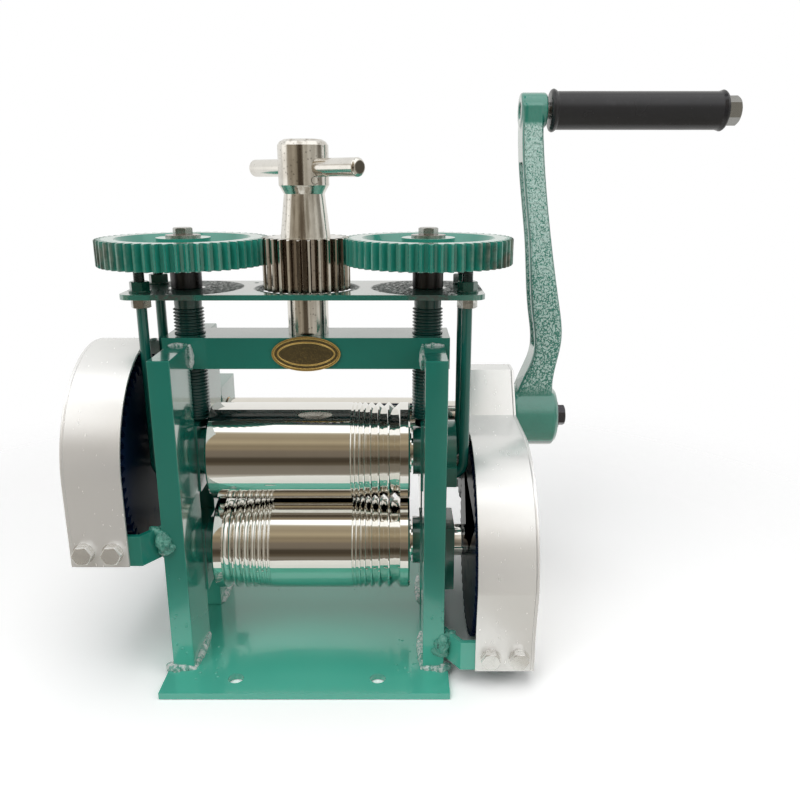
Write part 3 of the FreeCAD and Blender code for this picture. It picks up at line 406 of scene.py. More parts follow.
@dataclass(frozen=True)
class Finish:
    """A material with a name. Subclasses say how it looks."""

    name: str

    def material(self) -> bpy.types.Material:
        """Build the material at its first use.

        Returns:
            The material, the same one each time.
        """
        made = FINISHED.get(self.name)
        if made is None:
            made = FINISHED[self.name] = bpy.data.materials.new(f"{self.name}_finish")
            made.use_nodes = True
            made.node_tree.nodes.clear()
            sheet = NodeSheet(made.node_tree)
            surface = sheet.add("BsdfPrincipled")
            sheet.join(surface.outputs[0], sheet.add("OutputMaterial").inputs["Surface"])
            self.dress(sheet, surface)
        return made

    def dress(self, sheet: NodeSheet, surface: bpy.types.Node) -> None:
        """Give the surface its colour, roughness and bump."""
        raise NotImplementedError

    @staticmethod
    def group(sheet: NodeSheet, tree: bpy.types.NodeTree, **inputs: object) -> bpy.types.Node:
        """Place a shared group with its own values.

        Args:
            sheet: the material's nodes.
            tree: the group.
            inputs: a value or socket for each of the group's inputs.

        Returns:
            The placed group.
        """
        node = sheet.add("Group")
        node.node_tree = tree
        return sheet.feed(node, **inputs)

    def drifting(self, sheet: NodeSheet, colour: Colour, amount: float,
                 scale: float) -> bpy.types.NodeSocket:
        """A colour that wanders a little over the surface."""
        node = self.group(sheet, GROUPS.colour_drift(), Colour=(*colour, 1.0), Amount=amount, Scale=scale)
        return node.outputs["Colour"]


@dataclass(frozen=True)
class Enamel(Finish):
    """Glossy brushed-on enamel over steel, with painted light near the base and painted shade on the
    undersides.
    """

    colour: Colour = (0.010, 0.190, 0.140)
    # painted light: the paler colour near the base, fading out between the two heights below
    low_colour: Colour = (0.085, 0.49, 0.37)
    low_z: tuple[float, float] = (0.004, 0.080)
    roughness: float = 0.13
    coat: float = 0.8
    index: float = 1.6
    peel: float = 0.10
    waves: float = 0.5
    nibs: float = 0.6
    # painted shade: the colour that faces turned down are darkened to
    primer: Colour = (0.009, 0.013, 0.021)

    def skin(self, sheet: NodeSheet) -> bpy.types.NodeSocket:
        """Height of the paint's surface."""
        node = self.group(sheet, GROUPS.paint_skin(), Peel=self.peel, Waves=self.waves, Nibs=self.nibs)
        return node.outputs["Height"]

    def painted(self, sheet: NodeSheet, amount: float, scale: float) -> bpy.types.NodeSocket:
        """Mix the paint's colour, with painted light near the base and painted shade on undersides.

        Args:
            sheet: the material's nodes.
            amount: how far the colour drifts lighter and darker.
            scale: how fine the drift is, per metre.

        Returns:
            The paint's colour.
        """
        bottom, top = self.low_z
        paint = self.drifting(sheet, self.colour, amount, scale)
        shade = self.group(sheet, GROUPS.enamel_shade(), Paint=paint, Low_Paint=(*self.low_colour, 1.0),
                           Primer=(*self.primer, 1.0), Bottom=bottom, Top=top)
        return shade.outputs["Colour"]

    def dress(self, sheet: NodeSheet, surface: bpy.types.Node) -> None:
        """Green paint, thinner and lighter on the edges.

        Args:
            sheet: the material's nodes.
            surface: the material's shader.
        """
        edge = self.group(sheet, GROUPS.edge_wear(), Radius=0.0007, Breakup=0.5).outputs["Mask"]
        base = self.painted(sheet, 0.10, 22.0)
        thin = tuple(min(1.0, c * 1.9 + 0.02) for c in self.colour)
        colour = sheet.blend(sheet.math("MULTIPLY", edge, 0.55), base, thin)
        rough = sheet.spread(sheet.noise(sheet.place(), 30.0, 3.0), 0.3, 0.7, self.roughness,
                             self.roughness + 0.10)
        normal = sheet.bump(self.skin(sheet), 0.30, 0.0003)
        sheet.feed(surface, Base_Color=colour, Roughness=rough, Normal=normal)
        sheet.feed(surface, IOR=self.index, Coat_Weight=self.coat, Coat_Roughness=0.05)


@dataclass(frozen=True)
class WeldEnamel(Enamel):
    """Enamel over a weld, wrinkled like the bead below it, with small glints painted into its colour."""

    crest_colour: Colour = (0.80, 0.89, 0.86)

    def skin(self, sheet: NodeSheet) -> bpy.types.NodeSocket:
        """Raise ripples, crumbs and sharp folds.

        Args:
            sheet: the material's nodes.

        Returns:
            The height.
        """
        place = sheet.place()
        folds = sheet.math("ABSOLUTE", sheet.math("SUBTRACT", sheet.noise(place, 420.0, 3.0, 0.6), 0.5))
        crumbs = sheet.feed(sheet.add("TexVoronoi", feature="F1"), Vector=place, Scale=520.0)
        return sheet.math("ADD", sheet.math("MULTIPLY", folds, 2.2),
                          sheet.math("MULTIPLY", crumbs.outputs["Distance"], 0.6))

    def dress(self, sheet: NodeSheet, surface: bpy.types.Node) -> None:
        """Whitish patches of painted glints, pale green paint and dark patches.

        Args:
            sheet: the material's nodes.
            surface: the material's shader.
        """
        height = self.skin(sheet)
        patch = sheet.noise(sheet.place(), 260.0, 4.0, 0.7, (1.0, 1.0, 0.6))
        # painted highlight: these whitish patches stand in for glints, and are made a little metallic below
        bare = sheet.spread(patch, 0.47, 0.56)
        # dark patches, from the low end of the same noise
        dark_patch = sheet.math("MULTIPLY", sheet.spread(patch, 0.40, 0.34), 0.8)
        paint = sheet.blend(bare, self.painted(sheet, 0.2, 60.0), self.crest_colour)
        base = sheet.blend(dark_patch, paint, (0.010, 0.035, 0.032))
        normal = sheet.bump(height, 1.0, 0.0016)
        sheet.feed(surface, Base_Color=base, Roughness=0.16, IOR=1.7, Normal=normal)
        sheet.feed(surface, Coat_Weight=1.0, Coat_Roughness=0.06)
        sheet.join(sheet.math("MULTIPLY", bare, 0.12), surface.inputs["Metallic"])


@dataclass(frozen=True)
class Hammertone(Enamel):
    """Enamel over a rough casting, with the close pebbled surface of hammer paint."""

    pebble_scale: float = 430.0
    # painted highlight: colour of the glints painted on the lumps
    pebble_colour: Colour = (0.62, 0.84, 0.77)
    rough_z: tuple[float, float] = (0.146, 0.318)

    def lumps(self, sheet: NodeSheet) -> bpy.types.NodeSocket:
        """Height of the hammered lumps."""
        return sheet.noise(sheet.place(), self.pebble_scale, 2.5, 0.55, (1.0, 1.0, 0.85))

    def cast_face(self, sheet: NodeSheet) -> bpy.types.NodeSocket:
        """Pick out the rough faces between hub and eye.

        Args:
            sheet: the material's nodes.

        Returns:
            The mask.
        """
        turn = sheet.coordinate(sheet.add("TexCoord").outputs["Normal"], "Y")
        level = sheet.coordinate(sheet.place(), "Z")
        low, high = self.rough_z
        tall = sheet.math("MULTIPLY", sheet.spread(level, low - 0.008, low + 0.004),
                          sheet.spread(level, high + 0.002, high - 0.002))
        return sheet.math("MULTIPLY", sheet.spread(sheet.math("ABSOLUTE", turn), 0.72, 0.93), tall)

    def dress(self, sheet: NodeSheet, surface: bpy.types.Node) -> None:
        """Smooth green with pale glints painted on the lumps of the rough faces.

        Args:
            sheet: the material's nodes.
            surface: the material's shader.
        """
        lumps = self.lumps(sheet)
        face = self.cast_face(sheet)
        # painted highlight: pale glints on the crests of the lumps, with a larger share higher up the arm
        vein = sheet.spread(sheet.coordinate(sheet.place(), "Z"), 0.15, 0.30, 0.050, 0.016)
        away = sheet.math("ABSOLUTE", sheet.math("SUBTRACT", lumps, 0.5))
        crest = sheet.spread(sheet.math("SUBTRACT", away, vein), -0.008, 0.022)
        pale = sheet.math("MULTIPLY", sheet.math("MULTIPLY", crest, face), 0.88)
        base = sheet.blend(pale, self.painted(sheet, 0.14, 60.0), self.pebble_colour)
        depth = sheet.math("MULTIPLY", lumps, sheet.math("ADD", sheet.math("MULTIPLY", face, 0.9), 0.1))
        normal = sheet.bump(depth, 1.0, 0.0016)
        sheet.feed(surface, Base_Color=base, Roughness=0.13, IOR=1.7, Normal=normal)
        sheet.feed(surface, Coat_Weight=1.0, Coat_Roughness=0.06)


@dataclass(frozen=True)
class GearEnamel(Enamel):
    """Enamel on a gear, rubbed to bare steel on the tips and flanks of its teeth."""

    centre: Point = (0.0, 0.0, 0.0)
    root_r: float = 0.045
    tip_r: float = 0.049

    def dress(self, sheet: NodeSheet, surface: bpy.types.Node) -> None:
        """Green on the web and bare metal where the teeth rub.

        Args:
            sheet: the material's nodes.
            surface: the material's shader.
        """
        place = sheet.place()
        reach = sheet.off_axis(place, self.centre)
        tooth = sheet.spread(reach, self.root_r + 0.0006, self.tip_r - 0.0003)
        edge = self.group(sheet, GROUPS.edge_wear(), Radius=0.0008, Breakup=0.35).outputs["Mask"]
        outer = sheet.math("ABSOLUTE", sheet.coordinate(place, "X"))
        patch = sheet.math("MULTIPLY", sheet.spread(sheet.noise(place, 60.0, 3.0, 0.6), 0.30, 0.60),
                           sheet.spread(outer, 0.078, 0.112))
        rubbed = sheet.math("MULTIPLY", tooth, sheet.math("ADD", sheet.math("MULTIPLY", patch, 0.85), 0.03))
        rim = sheet.math("MULTIPLY", edge, sheet.math("ADD", sheet.math("MULTIPLY", tooth, 0.6), 0.05))
        wear = sheet.math("MAXIMUM", rubbed, rim, clamp=True)
        smudge = sheet.spread(sheet.noise(place, 300.0, 3.0), 0.35, 0.7)
        steel = sheet.blend(smudge, (0.26, 0.235, 0.20), (0.08, 0.075, 0.068))
        colour = sheet.blend(wear, self.drifting(sheet, self.colour, 0.12, 30.0), steel)
        metal = sheet.math("MULTIPLY", wear, 0.8)
        rough = sheet.spread(wear, 0.0, 1.0, self.roughness + 0.06, 0.34)
        normal = sheet.bump(self.skin(sheet), 0.3, 0.0003)
        sheet.feed(surface, Base_Color=colour, Metallic=metal, Roughness=rough, Normal=normal)
        sheet.feed(surface, IOR=1.8, Coat_Roughness=0.08)
        sheet.join(sheet.math("SUBTRACT", self.coat, wear, clamp=True), surface.inputs["Coat Weight"])


@dataclass(frozen=True)
class NutEnamel(Enamel):
    """Enamelled nuts above the plate and bare zinc ones below it."""

    plate_z: float = 0.2220

    def dress(self, sheet: NodeSheet, surface: bpy.types.Node) -> None:
        """Pick paint or metal by height.

        Args:
            sheet: the material's nodes.
            surface: the material's shader.
        """
        place = sheet.place()
        bare = sheet.math("LESS_THAN", sheet.coordinate(place, "Z"), self.plate_z)
        dull = sheet.spread(sheet.noise(place, 260.0, 4.0, 0.6), 0.35, 0.7)
        zinc = sheet.blend(dull, (0.70, 0.70, 0.67), (0.34, 0.34, 0.32))
        colour = sheet.blend(bare, self.painted(sheet, 0.15, 60.0), zinc)
        rough = sheet.math("ADD", sheet.math("MULTIPLY", dull, 0.12), self.roughness + 0.06)
        normal = sheet.bump(self.skin(sheet), 0.3, 0.0003)
        sheet.feed(surface, Base_Color=colour, Metallic=bare, Roughness=rough, Normal=normal)
        sheet.join(sheet.math("SUBTRACT", self.coat, bare, clamp=True), surface.inputs["Coat Weight"])


@dataclass(frozen=True)
class RodEnamel(Enamel):
    """Dark enamel on the lifting rods, with the thread showing above the plate."""

    thread_z: float = 0.2236
    pitch: float = 0.001

    def dress(self, sheet: NodeSheet, surface: bpy.types.Node) -> None:
        """Dark green, nearly black on the thread.

        Args:
            sheet: the material's nodes.
            surface: the material's shader.
        """
        place = sheet.place()
        height = sheet.coordinate(place, "Z")
        threaded = sheet.math("GREATER_THAN", height, self.thread_z)
        ridge = sheet.math("SINE", sheet.math("MULTIPLY", height, 2 * math.pi / self.pitch))
        raised = sheet.math("MULTIPLY", ridge, threaded)
        dark = sheet.math("MULTIPLY", threaded, 0.85)
        colour = sheet.blend(dark, self.painted(sheet, 0.12, 40.0), (0.008, 0.010, 0.014))
        total = sheet.math("ADD", raised, sheet.math("MULTIPLY", self.skin(sheet), 0.4))
        normal = sheet.bump(total, 0.6, 0.0004)
        sheet.feed(surface, Base_Color=colour, Roughness=self.roughness, Normal=normal)
        sheet.feed(surface, IOR=self.index, Coat_Weight=self.coat, Coat_Roughness=0.08)


@dataclass(frozen=True)
class PlateEnamel(Enamel):
    """The top plate's enamel, with dark rubbed rings where gears and pinion turn over it."""

    rings: tuple[tuple[float, float, float, float], ...] = ()

    def dress(self, sheet: NodeSheet, surface: bpy.types.Node) -> None:
        """Green with oily dark rings: each ring is (x, y, inner radius, outer radius).

        Args:
            sheet: the material's nodes.
            surface: the material's shader.
        """
        place = sheet.place()
        grime: object = 0.0
        for x, y, inner, outer in self.rings:
            reach = sheet.off_axis(place, (x, y, 0.0))
            ring = sheet.math("MULTIPLY", sheet.spread(reach, inner - 0.0012, inner + 0.0004),
                              sheet.spread(reach, outer + 0.0012, outer - 0.0008))
            grime = sheet.math("MAXIMUM", grime, ring)
        broken = sheet.spread(sheet.noise(place, 520.0, 3.0, 0.7), 0.36, 0.56, 0.35, 1.0)
        grime = sheet.math("MULTIPLY", grime, broken)
        base = self.painted(sheet, 0.10, 22.0)
        colour = sheet.blend(sheet.math("MULTIPLY", grime, 0.9), base, (0.018, 0.020, 0.019))
        rough = sheet.math("ADD", sheet.math("MULTIPLY", grime, 0.4), self.roughness)
        normal = sheet.bump(self.skin(sheet), 0.2, 0.0003)
        sheet.feed(surface, Base_Color=colour, Roughness=rough, Normal=normal)
        sheet.feed(surface, IOR=2.2, Coat_Roughness=0.05, Coat_IOR=2.0)
        sheet.join(sheet.math("SUBTRACT", self.coat, grime, clamp=True), surface.inputs["Coat Weight"])


@dataclass(frozen=True)
class Steel(Finish):
    """Bare steel with lines, stains and bright edges."""

    colour: Colour = (0.60, 0.585, 0.56)
    roughness: float = 0.22
    lines: Point = (0.05, 1.0, 1.0)
    line_scale: float = 900.0
    line_depth: float = 0.10
    stain: float = 0.25
    stain_colour: Colour = (0.20, 0.17, 0.14)
    edge_gain: float = 0.25
    pits: float = 0.0
    metal: float = 1.0

    def tinted(self, sheet: NodeSheet, place: bpy.types.NodeSocket,
               colour: bpy.types.NodeSocket) -> bpy.types.NodeSocket:
        """Hook for marks that belong to one piece."""
        return colour

    def dress(self, sheet: NodeSheet, surface: bpy.types.Node) -> None:
        """Metal with streaked roughness, patchy stains and rubbed edges.

        Args:
            sheet: the material's nodes.
            surface: the material's shader.
        """
        place = sheet.place()
        x, y, z = self.lines
        lines = self.group(sheet, GROUPS.fine_lines(), Along_X=x, Along_Y=y, Along_Z=z,
                           Scale=self.line_scale)
        mask = lines.outputs["Mask"]
        patch = sheet.spread(sheet.noise(place, 55.0, 5.0, 0.65), 0.45, 0.72)
        stained = sheet.blend(sheet.math("MULTIPLY", patch, self.stain), self.colour, self.stain_colour)
        edge = self.group(sheet, GROUPS.edge_wear(), Radius=0.0006, Breakup=0.3).outputs["Mask"]
        bright = tuple(min(0.95, c * 1.25) for c in self.colour)
        colour = sheet.blend(sheet.math("MULTIPLY", edge, self.edge_gain), stained, bright)
        colour = self.tinted(sheet, place, colour)
        height: bpy.types.NodeSocket = mask
        if self.pits > 0.0:
            pits = self.group(sheet, GROUPS.specks(), Scale=420.0, Size=0.22, Share=0.52).outputs["Mask"]
            dark = sheet.math("MULTIPLY", pits, 0.8 * self.pits)
            colour = sheet.blend(dark, colour, (0.05, 0.045, 0.04))
            height = sheet.math("SUBTRACT", mask, sheet.math("MULTIPLY", pits, 2.0 * self.pits))
        rough = sheet.spread(mask, 0.25, 0.75, self.roughness * 0.75, self.roughness * 1.25)
        rough = sheet.math("ADD", rough, sheet.math("MULTIPLY", patch, 0.10 * self.stain))
        normal = sheet.bump(height, self.line_depth, 0.0002)
        sheet.feed(surface, Base_Color=colour, Metallic=self.metal, Roughness=rough, Normal=normal)


@dataclass(frozen=True)
class HandleSteel(Steel):
    """Turned steel of the T-handle, with painted shade in the gaps between the pinion's teeth."""

    root_r: float = 0.0214
    tip_r: float = 0.0254
    shaft_r: float = 0.0165
    teeth_z: tuple[float, float] = (0.2224, 0.2527)

    def tinted(self, sheet: NodeSheet, place: bpy.types.NodeSocket,
               colour: bpy.types.NodeSocket) -> bpy.types.NodeSocket:
        """Brown streaks up the neck and knob, and painted shade on the flanks between the teeth.

        Args:
            sheet: the material's nodes.
            place: coordinates in metres.
            colour: the steel's colour so far.

        Returns:
            The colour with the piece's own marks.
        """
        reach = sheet.off_axis(place, (0.0, 0.0, 0.0))
        height = sheet.coordinate(place, "Z")
        low, high = self.teeth_z
        among = sheet.math("MULTIPLY", sheet.spread(height, low - 0.0002, low),
                           sheet.spread(height, high, high - 0.0004))
        deep = sheet.spread(reach, self.tip_r, self.tip_r - 0.0011)
        # painted shade: the flanks between the teeth are darkened
        tooth_gap_shade = sheet.math("MULTIPLY", sheet.math("MULTIPLY", deep, among),
                         sheet.spread(reach, self.shaft_r, self.shaft_r + 0.001))
        noise = sheet.noise(place, 240.0, 3.0, 0.6, (1.0, 1.0, 0.03))
        streak = sheet.math("MULTIPLY", sheet.spread(noise, 0.46, 0.62), 0.5)
        streaked = sheet.blend(streak, colour, self.stain_colour)
        return sheet.blend(sheet.math("MULTIPLY", tooth_gap_shade, 0.9), streaked, (0.38, 0.33, 0.285))


@dataclass(frozen=True)
class BarSteel(Steel):
    """Steel of the cross bar, dark on its sawn ends."""

    half: float = 0.0475

    def tinted(self, sheet: NodeSheet, place: bpy.types.NodeSocket,
               colour: bpy.types.NodeSocket) -> bpy.types.NodeSocket:
        """Brown end faces.

        Args:
            sheet: the material's nodes.
            place: coordinates in metres.
            colour: the steel's colour so far.

        Returns:
            The colour with the piece's own marks.
        """
        across = sheet.math("SUBTRACT", sheet.coordinate(place, "X"), sheet.coordinate(place, "Y"))
        along = sheet.math("ABSOLUTE", sheet.math("MULTIPLY", across, math.sqrt(0.5)))
        end = sheet.math("GREATER_THAN", along, self.half - 0.0002)
        return sheet.blend(sheet.math("MULTIPLY", end, 0.8), colour, (0.16, 0.135, 0.10))


@dataclass(frozen=True)
class GuardSheet(Finish):
    """Satin stainless sheet with small dents, drips and dust specks."""

    colour: Colour = (0.96, 0.955, 0.945)
    roughness: float = 0.24
    metal: float = 0.56

    def dress(self, sheet: NodeSheet, surface: bpy.types.Node) -> None:
        """Pale satin metal with a faint grain and a few bright drips.

        Args:
            sheet: the material's nodes.
            surface: the material's shader.
        """
        place = sheet.place()
        grain = self.group(sheet, GROUPS.fine_lines(), Along_X=1.0, Along_Y=0.3, Along_Z=0.3,
                           Scale=500.0)
        cells = sheet.feed(sheet.add("TexVoronoi", feature="F1"), Vector=place, Scale=210.0)
        round_spot = sheet.spread(cells.outputs["Distance"], 0.16, 0.08)
        chosen = sheet.math("GREATER_THAN", sheet.noise(place, 46.0, 2.0), 0.60)
        spots = sheet.math("MULTIPLY", round_spot, chosen)
        colour = self.drifting(sheet, self.colour, 0.03, 14.0)
        rough = sheet.spread(grain.outputs["Mask"], 0.2, 0.8, self.roughness - 0.03,
                             self.roughness + 0.04)
        dents = sheet.math("MULTIPLY", sheet.noise(place, 20.0, 1.0), 2.0)
        height = sheet.math("ADD", dents, sheet.math("MULTIPLY", spots, 0.8))
        normal = sheet.bump(height, 0.16, 0.0004)
        sheet.feed(surface, Base_Color=colour, Metallic=self.metal, Roughness=rough, Normal=normal)


@dataclass(frozen=True)
class PlaqueBrass(Finish):
    """Brass with a dark stippled ground below its polished rim."""

    ground_y: float = -0.0172

    def dress(self, sheet: NodeSheet, surface: bpy.types.Node) -> None:
        """Polished where raised and dark, grainy where low.

        Args:
            sheet: the material's nodes.
            surface: the material's shader.
        """
        place = sheet.place()
        depth = sheet.coordinate(place, "Y")
        low = sheet.spread(depth, self.ground_y - 0.00025, self.ground_y + 0.00005)
        stipple = sheet.feed(sheet.add("TexVoronoi", feature="F1"), Vector=place, Scale=1300.0)
        grain = sheet.spread(stipple.outputs["Distance"], 0.10, 0.45)
        dark = sheet.blend(grain, (0.20, 0.135, 0.035), (0.028, 0.020, 0.008))
        bright = self.drifting(sheet, (0.80, 0.56, 0.19), 0.15, 120.0)
        colour = sheet.blend(low, bright, dark)
        metal = sheet.spread(low, 0.0, 1.0, 0.85, 0.35)
        rough = sheet.spread(low, 0.0, 1.0, 0.20, 0.55)
        normal = sheet.bump(sheet.math("MULTIPLY", grain, low), 0.5, 0.0002)
        sheet.feed(surface, Base_Color=colour, Metallic=metal, Roughness=rough, Normal=normal)


@dataclass(frozen=True)
class GripPlastic(Finish):
    """Satin charcoal plastic, a little polished by the hand."""

    colour: Colour = (0.018, 0.018, 0.021)

    def dress(self, sheet: NodeSheet, surface: bpy.types.Node) -> None:
        """Near black with faint turning lines and scuffs.

        Args:
            sheet: the material's nodes.
            surface: the material's shader.
        """
        place = sheet.place()
        lines = self.group(sheet, GROUPS.fine_lines(), Along_X=1.0, Along_Y=0.02, Along_Z=0.02,
                           Scale=1100.0)
        scuffs = sheet.spread(sheet.noise(place, 130.0, 5.0, 0.7), 0.55, 0.8)
        base = self.drifting(sheet, self.colour, 0.2, 40.0)
        colour = sheet.blend(sheet.math("MULTIPLY", scuffs, 0.25), base, (0.07, 0.07, 0.075))
        rough = sheet.spread(sheet.noise(place, 60.0, 3.0), 0.3, 0.7, 0.20, 0.28)
        normal = sheet.bump(lines.outputs["Mask"], 0.10, 0.0002)
        sheet.feed(surface, Base_Color=colour, Roughness=rough, Normal=normal)


@dataclass(frozen=True)
class DarkPaint(Finish):
    """Dark satin paint with a slight bluish shade."""

    colour: Colour = (0.004, 0.011, 0.036)
    roughness: float = 0.3

    def dress(self, sheet: NodeSheet, surface: bpy.types.Node) -> None:
        """Dark colour with dusty patches and a soft skin.

        Args:
            sheet: the material's nodes.
            surface: the material's shader.
        """
        place = sheet.place()
        dusty = sheet.spread(sheet.noise(place, 45.0, 4.0, 0.6), 0.5, 0.8)
        base = self.drifting(sheet, self.colour, 0.2, 20.0)
        lighter = tuple(c * 2.4 + 0.01 for c in self.colour)
        colour = sheet.blend(sheet.math("MULTIPLY", dusty, 0.35), base, lighter)
        skin = self.group(sheet, GROUPS.paint_skin(), Peel=0.2, Waves=0.4, Nibs=0.2)
        normal = sheet.bump(skin.outputs["Height"], 0.25, 0.0003)
        rough = sheet.spread(dusty, 0.0, 1.0, self.roughness, self.roughness + 0.2)
        sheet.feed(surface, Base_Color=colour, Roughness=rough, Normal=normal, IOR=1.12)


# --- piece building -----------------------------------------------------------------------------


class Bench:
    """Calls that shape and finish one piece at a time."""

    @staticmethod
    def clear() -> None:
        """Deselect everything and leave edit mode."""
        if bpy.context.object is not None and bpy.context.object.mode != "OBJECT":
            bpy.ops.object.mode_set(mode="OBJECT")
        bpy.ops.object.select_all(action="DESELECT")

    @classmethod
    def take(cls, piece: bpy.types.Object) -> None:
        """Select one piece alone and make it active.

        Args:
            piece: the piece to work on.
        """
        cls.clear()
        piece.select_set(True)
        bpy.context.view_layer.objects.active = piece

    @staticmethod
    def added(name: str) -> bpy.types.Object:
        """Name the primitive that was just added and put its place into its mesh.

        Args:
            name: the piece's name.

        Returns:
            The piece, at the origin and unscaled.
        """
        piece = bpy.context.object
        piece.name = piece.data.name = name
        bpy.ops.object.transform_apply(location=True, rotation=True, scale=True)
        piece.data.materials.clear()
        return piece

    @classmethod
    def modify(cls, piece: bpy.types.Object, kind: str, **settings: object) -> None:
        """Add a modifier and apply it.

        Args:
            piece: the piece to change.
            kind: Blender's name of the modifier's type.
            settings: properties set on the modifier.
        """
        cls.take(piece)
        modifier = piece.modifiers.new(kind.lower(), kind)
        for name, value in settings.items():
            setattr(modifier, name, value)
        bpy.ops.object.modifier_apply(modifier=modifier.name)

    @classmethod
    def smooth(cls, piece: bpy.types.Object, angle: float = 35.0) -> None:
        """Shade smooth, with creases sharper than the angle kept."""
        cls.take(piece)
        bpy.ops.object.shade_smooth_by_angle(angle=math.radians(angle))

    @staticmethod
    def fit(piece: bpy.types.Object, finish: Finish, body: str, slot: str) -> None:
        """Give a new piece its finish and body, and report it.

        Args:
            piece: the new piece.
            finish: the finish it gets.
            body: the body it rides on.
            slot: the record's material slot that it belongs to, which is not used.
        """
        piece.data.materials.clear()
        piece.data.materials.append(finish.material())
        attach(piece, body)
        LOG.info("%s rides on %s", piece.name, body)

    @classmethod
    def soften(cls, node: str, finish: Finish, width: float, segments: int = 2,
               angle: float = 32.0) -> bpy.types.Object:
        """Stand a copy with rounded edges in for a sharp-edged piece.

        Args:
            node: the piece's name.
            finish: the finish it gets.
            width: width of the rounding, in metres.
            segments: faces across the rounding.
            angle: edges that turn by more degrees than this are rounded.

        Returns:
            The rounded piece.
        """
        source = frame["nodes"][node]
        piece = source.copy()
        piece.data = source.data.copy()
        piece.name = piece.data.name = f"{node}_finished"
        piece.parent = None
        for key in list(piece.keys()):
            del piece[key]
        bpy.context.scene.collection.objects.link(piece)
        cls.take(piece)
        bpy.ops.object.mode_set(mode="EDIT")
        bpy.ops.mesh.select_all(action="SELECT")
        bpy.ops.mesh.remove_doubles(threshold=2e-6)
        bpy.ops.mesh.dissolve_limited(angle_limit=math.radians(0.6))
        bpy.ops.object.mode_set(mode="OBJECT")
        if piece.data.has_custom_normals:
            bpy.ops.mesh.customdata_custom_splitnormals_clear()
        cls.modify(piece, "BEVEL", width=width, segments=segments, limit_method="ANGLE",
                   angle_limit=math.radians(angle), use_clamp_overlap=True, harden_normals=False)
        cls.smooth(piece, 28.0)
        cls.modify(piece, "WEIGHTED_NORMAL", keep_sharp=True, weight=90, mode="FACE_AREA")
        slot = next(s["material_slot"] for s in frame["record"]["subparts"] if s["node"] == node)
        body = next(b for b, nodes in frame["record"]["behaviour"]["bodies"].items() if node in nodes)
        cls.fit(piece, finish, body, slot)
        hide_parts(node)
        return piece

    @staticmethod
    def paint(finish: Finish, *nodes: str) -> None:
        """Give carried-over pieces their finish.

        Args:
            finish: the finish they get.
            nodes: the pieces' names.
        """
        for node in nodes:
            part = frame["nodes"][node]
            if not part.material_slots:
                part.data.materials.append(None)
            for held in part.material_slots:
                held.material = finish.material()
            LOG.info("%s is finished as %s", node, finish.name)

    @classmethod
    def joined(cls, name: str, pieces: Sequence[bpy.types.Object]) -> bpy.types.Object:
        """Join several small pieces into one object.

        Args:
            name: name of the joined piece.
            pieces: the small pieces.

        Returns:
            The joined piece.
        """
        cls.clear()
        for piece in pieces:
            piece.select_set(True)
        bpy.context.view_layer.objects.active = pieces[0]
        bpy.ops.object.join()
        pieces[0].name = pieces[0].data.name = name
        return pieces[0]


@dataclass
class WeldBead:
    """Lumpy painted weld between two points."""

    start: Vector
    end: Vector
    radius: float = 0.0026
    lump: float = 0.0011
    grain: float = 0.006
    ring_step: float = 0.0016

    def lay(self, name: str) -> bpy.types.Object:
        """Build the bead's mesh.

        Args:
            name: the object's name.

        Returns:
            The bead, in place.
        """
        along = self.end - self.start
        Bench.clear()
        rings = max(10, int(along.length / self.ring_step))
        bpy.ops.mesh.primitive_uv_sphere_add(segments=14, ring_count=rings, radius=1.0)
        piece = bpy.context.object
        piece.scale = (self.radius, self.radius, along.length / 2 + self.radius)
        piece.rotation_euler = along.to_track_quat("Z", "Y").to_euler()
        piece.location = (self.start + self.end) / 2
        Bench.added(name)
        Bench.modify(piece, "SUBSURF", levels=1, render_levels=1)
        for scale, strength in ((self.grain, self.lump), (self.grain * 0.35, self.lump * 0.5)):
            texture = bpy.data.textures.new(f"{name}_lumps", "CLOUDS")
            texture.noise_scale = scale
            texture.noise_depth = 2
            Bench.modify(piece, "DISPLACE", texture=texture, strength=strength, mid_level=0.5,
                         texture_coords="LOCAL")
        Bench.smooth(piece, 60.0)
        return piece


@dataclass
class Spatter:
    """Small droplets of weld spatter under the paint, resting on a plane."""

    centre: Vector
    reach: Vector
    lift: Vector
    count: int = 14
    seed: int = 3

    def scatter(self, name: str) -> bpy.types.Object:
        """Build the droplets as one object.

        Args:
            name: the object's name.

        Returns:
            The droplets, in place.
        """
        rng = random.Random(self.seed)
        drops = []
        for i in range(self.count):
            place = Vector([c + rng.uniform(-1, 1) * r for c, r in zip(self.centre, self.reach)])
            size = rng.uniform(0.35, 1.0) * MM
            Bench.clear()
            bpy.ops.mesh.primitive_ico_sphere_add(subdivisions=2, radius=size, location=place)
            drop = bpy.context.object
            squeeze = [1.0 if abs(n) < 0.5 else 0.55 for n in self.lift]
            drop.scale = [s * rng.uniform(0.85, 1.15) for s in squeeze]
            drops.append(Bench.added(f"{name}_{i}"))
        piece = Bench.joined(name, drops)
        Bench.smooth(piece, 60.0)
        return piece


# --- finishes -----------------------------------------------------------------------------------

GREEN = Enamel("green_enamel")
WELD_GREEN = WeldEnamel("weld_enamel", colour=(0.10, 0.36, 0.28), low_colour=(0.16, 0.50, 0.40))
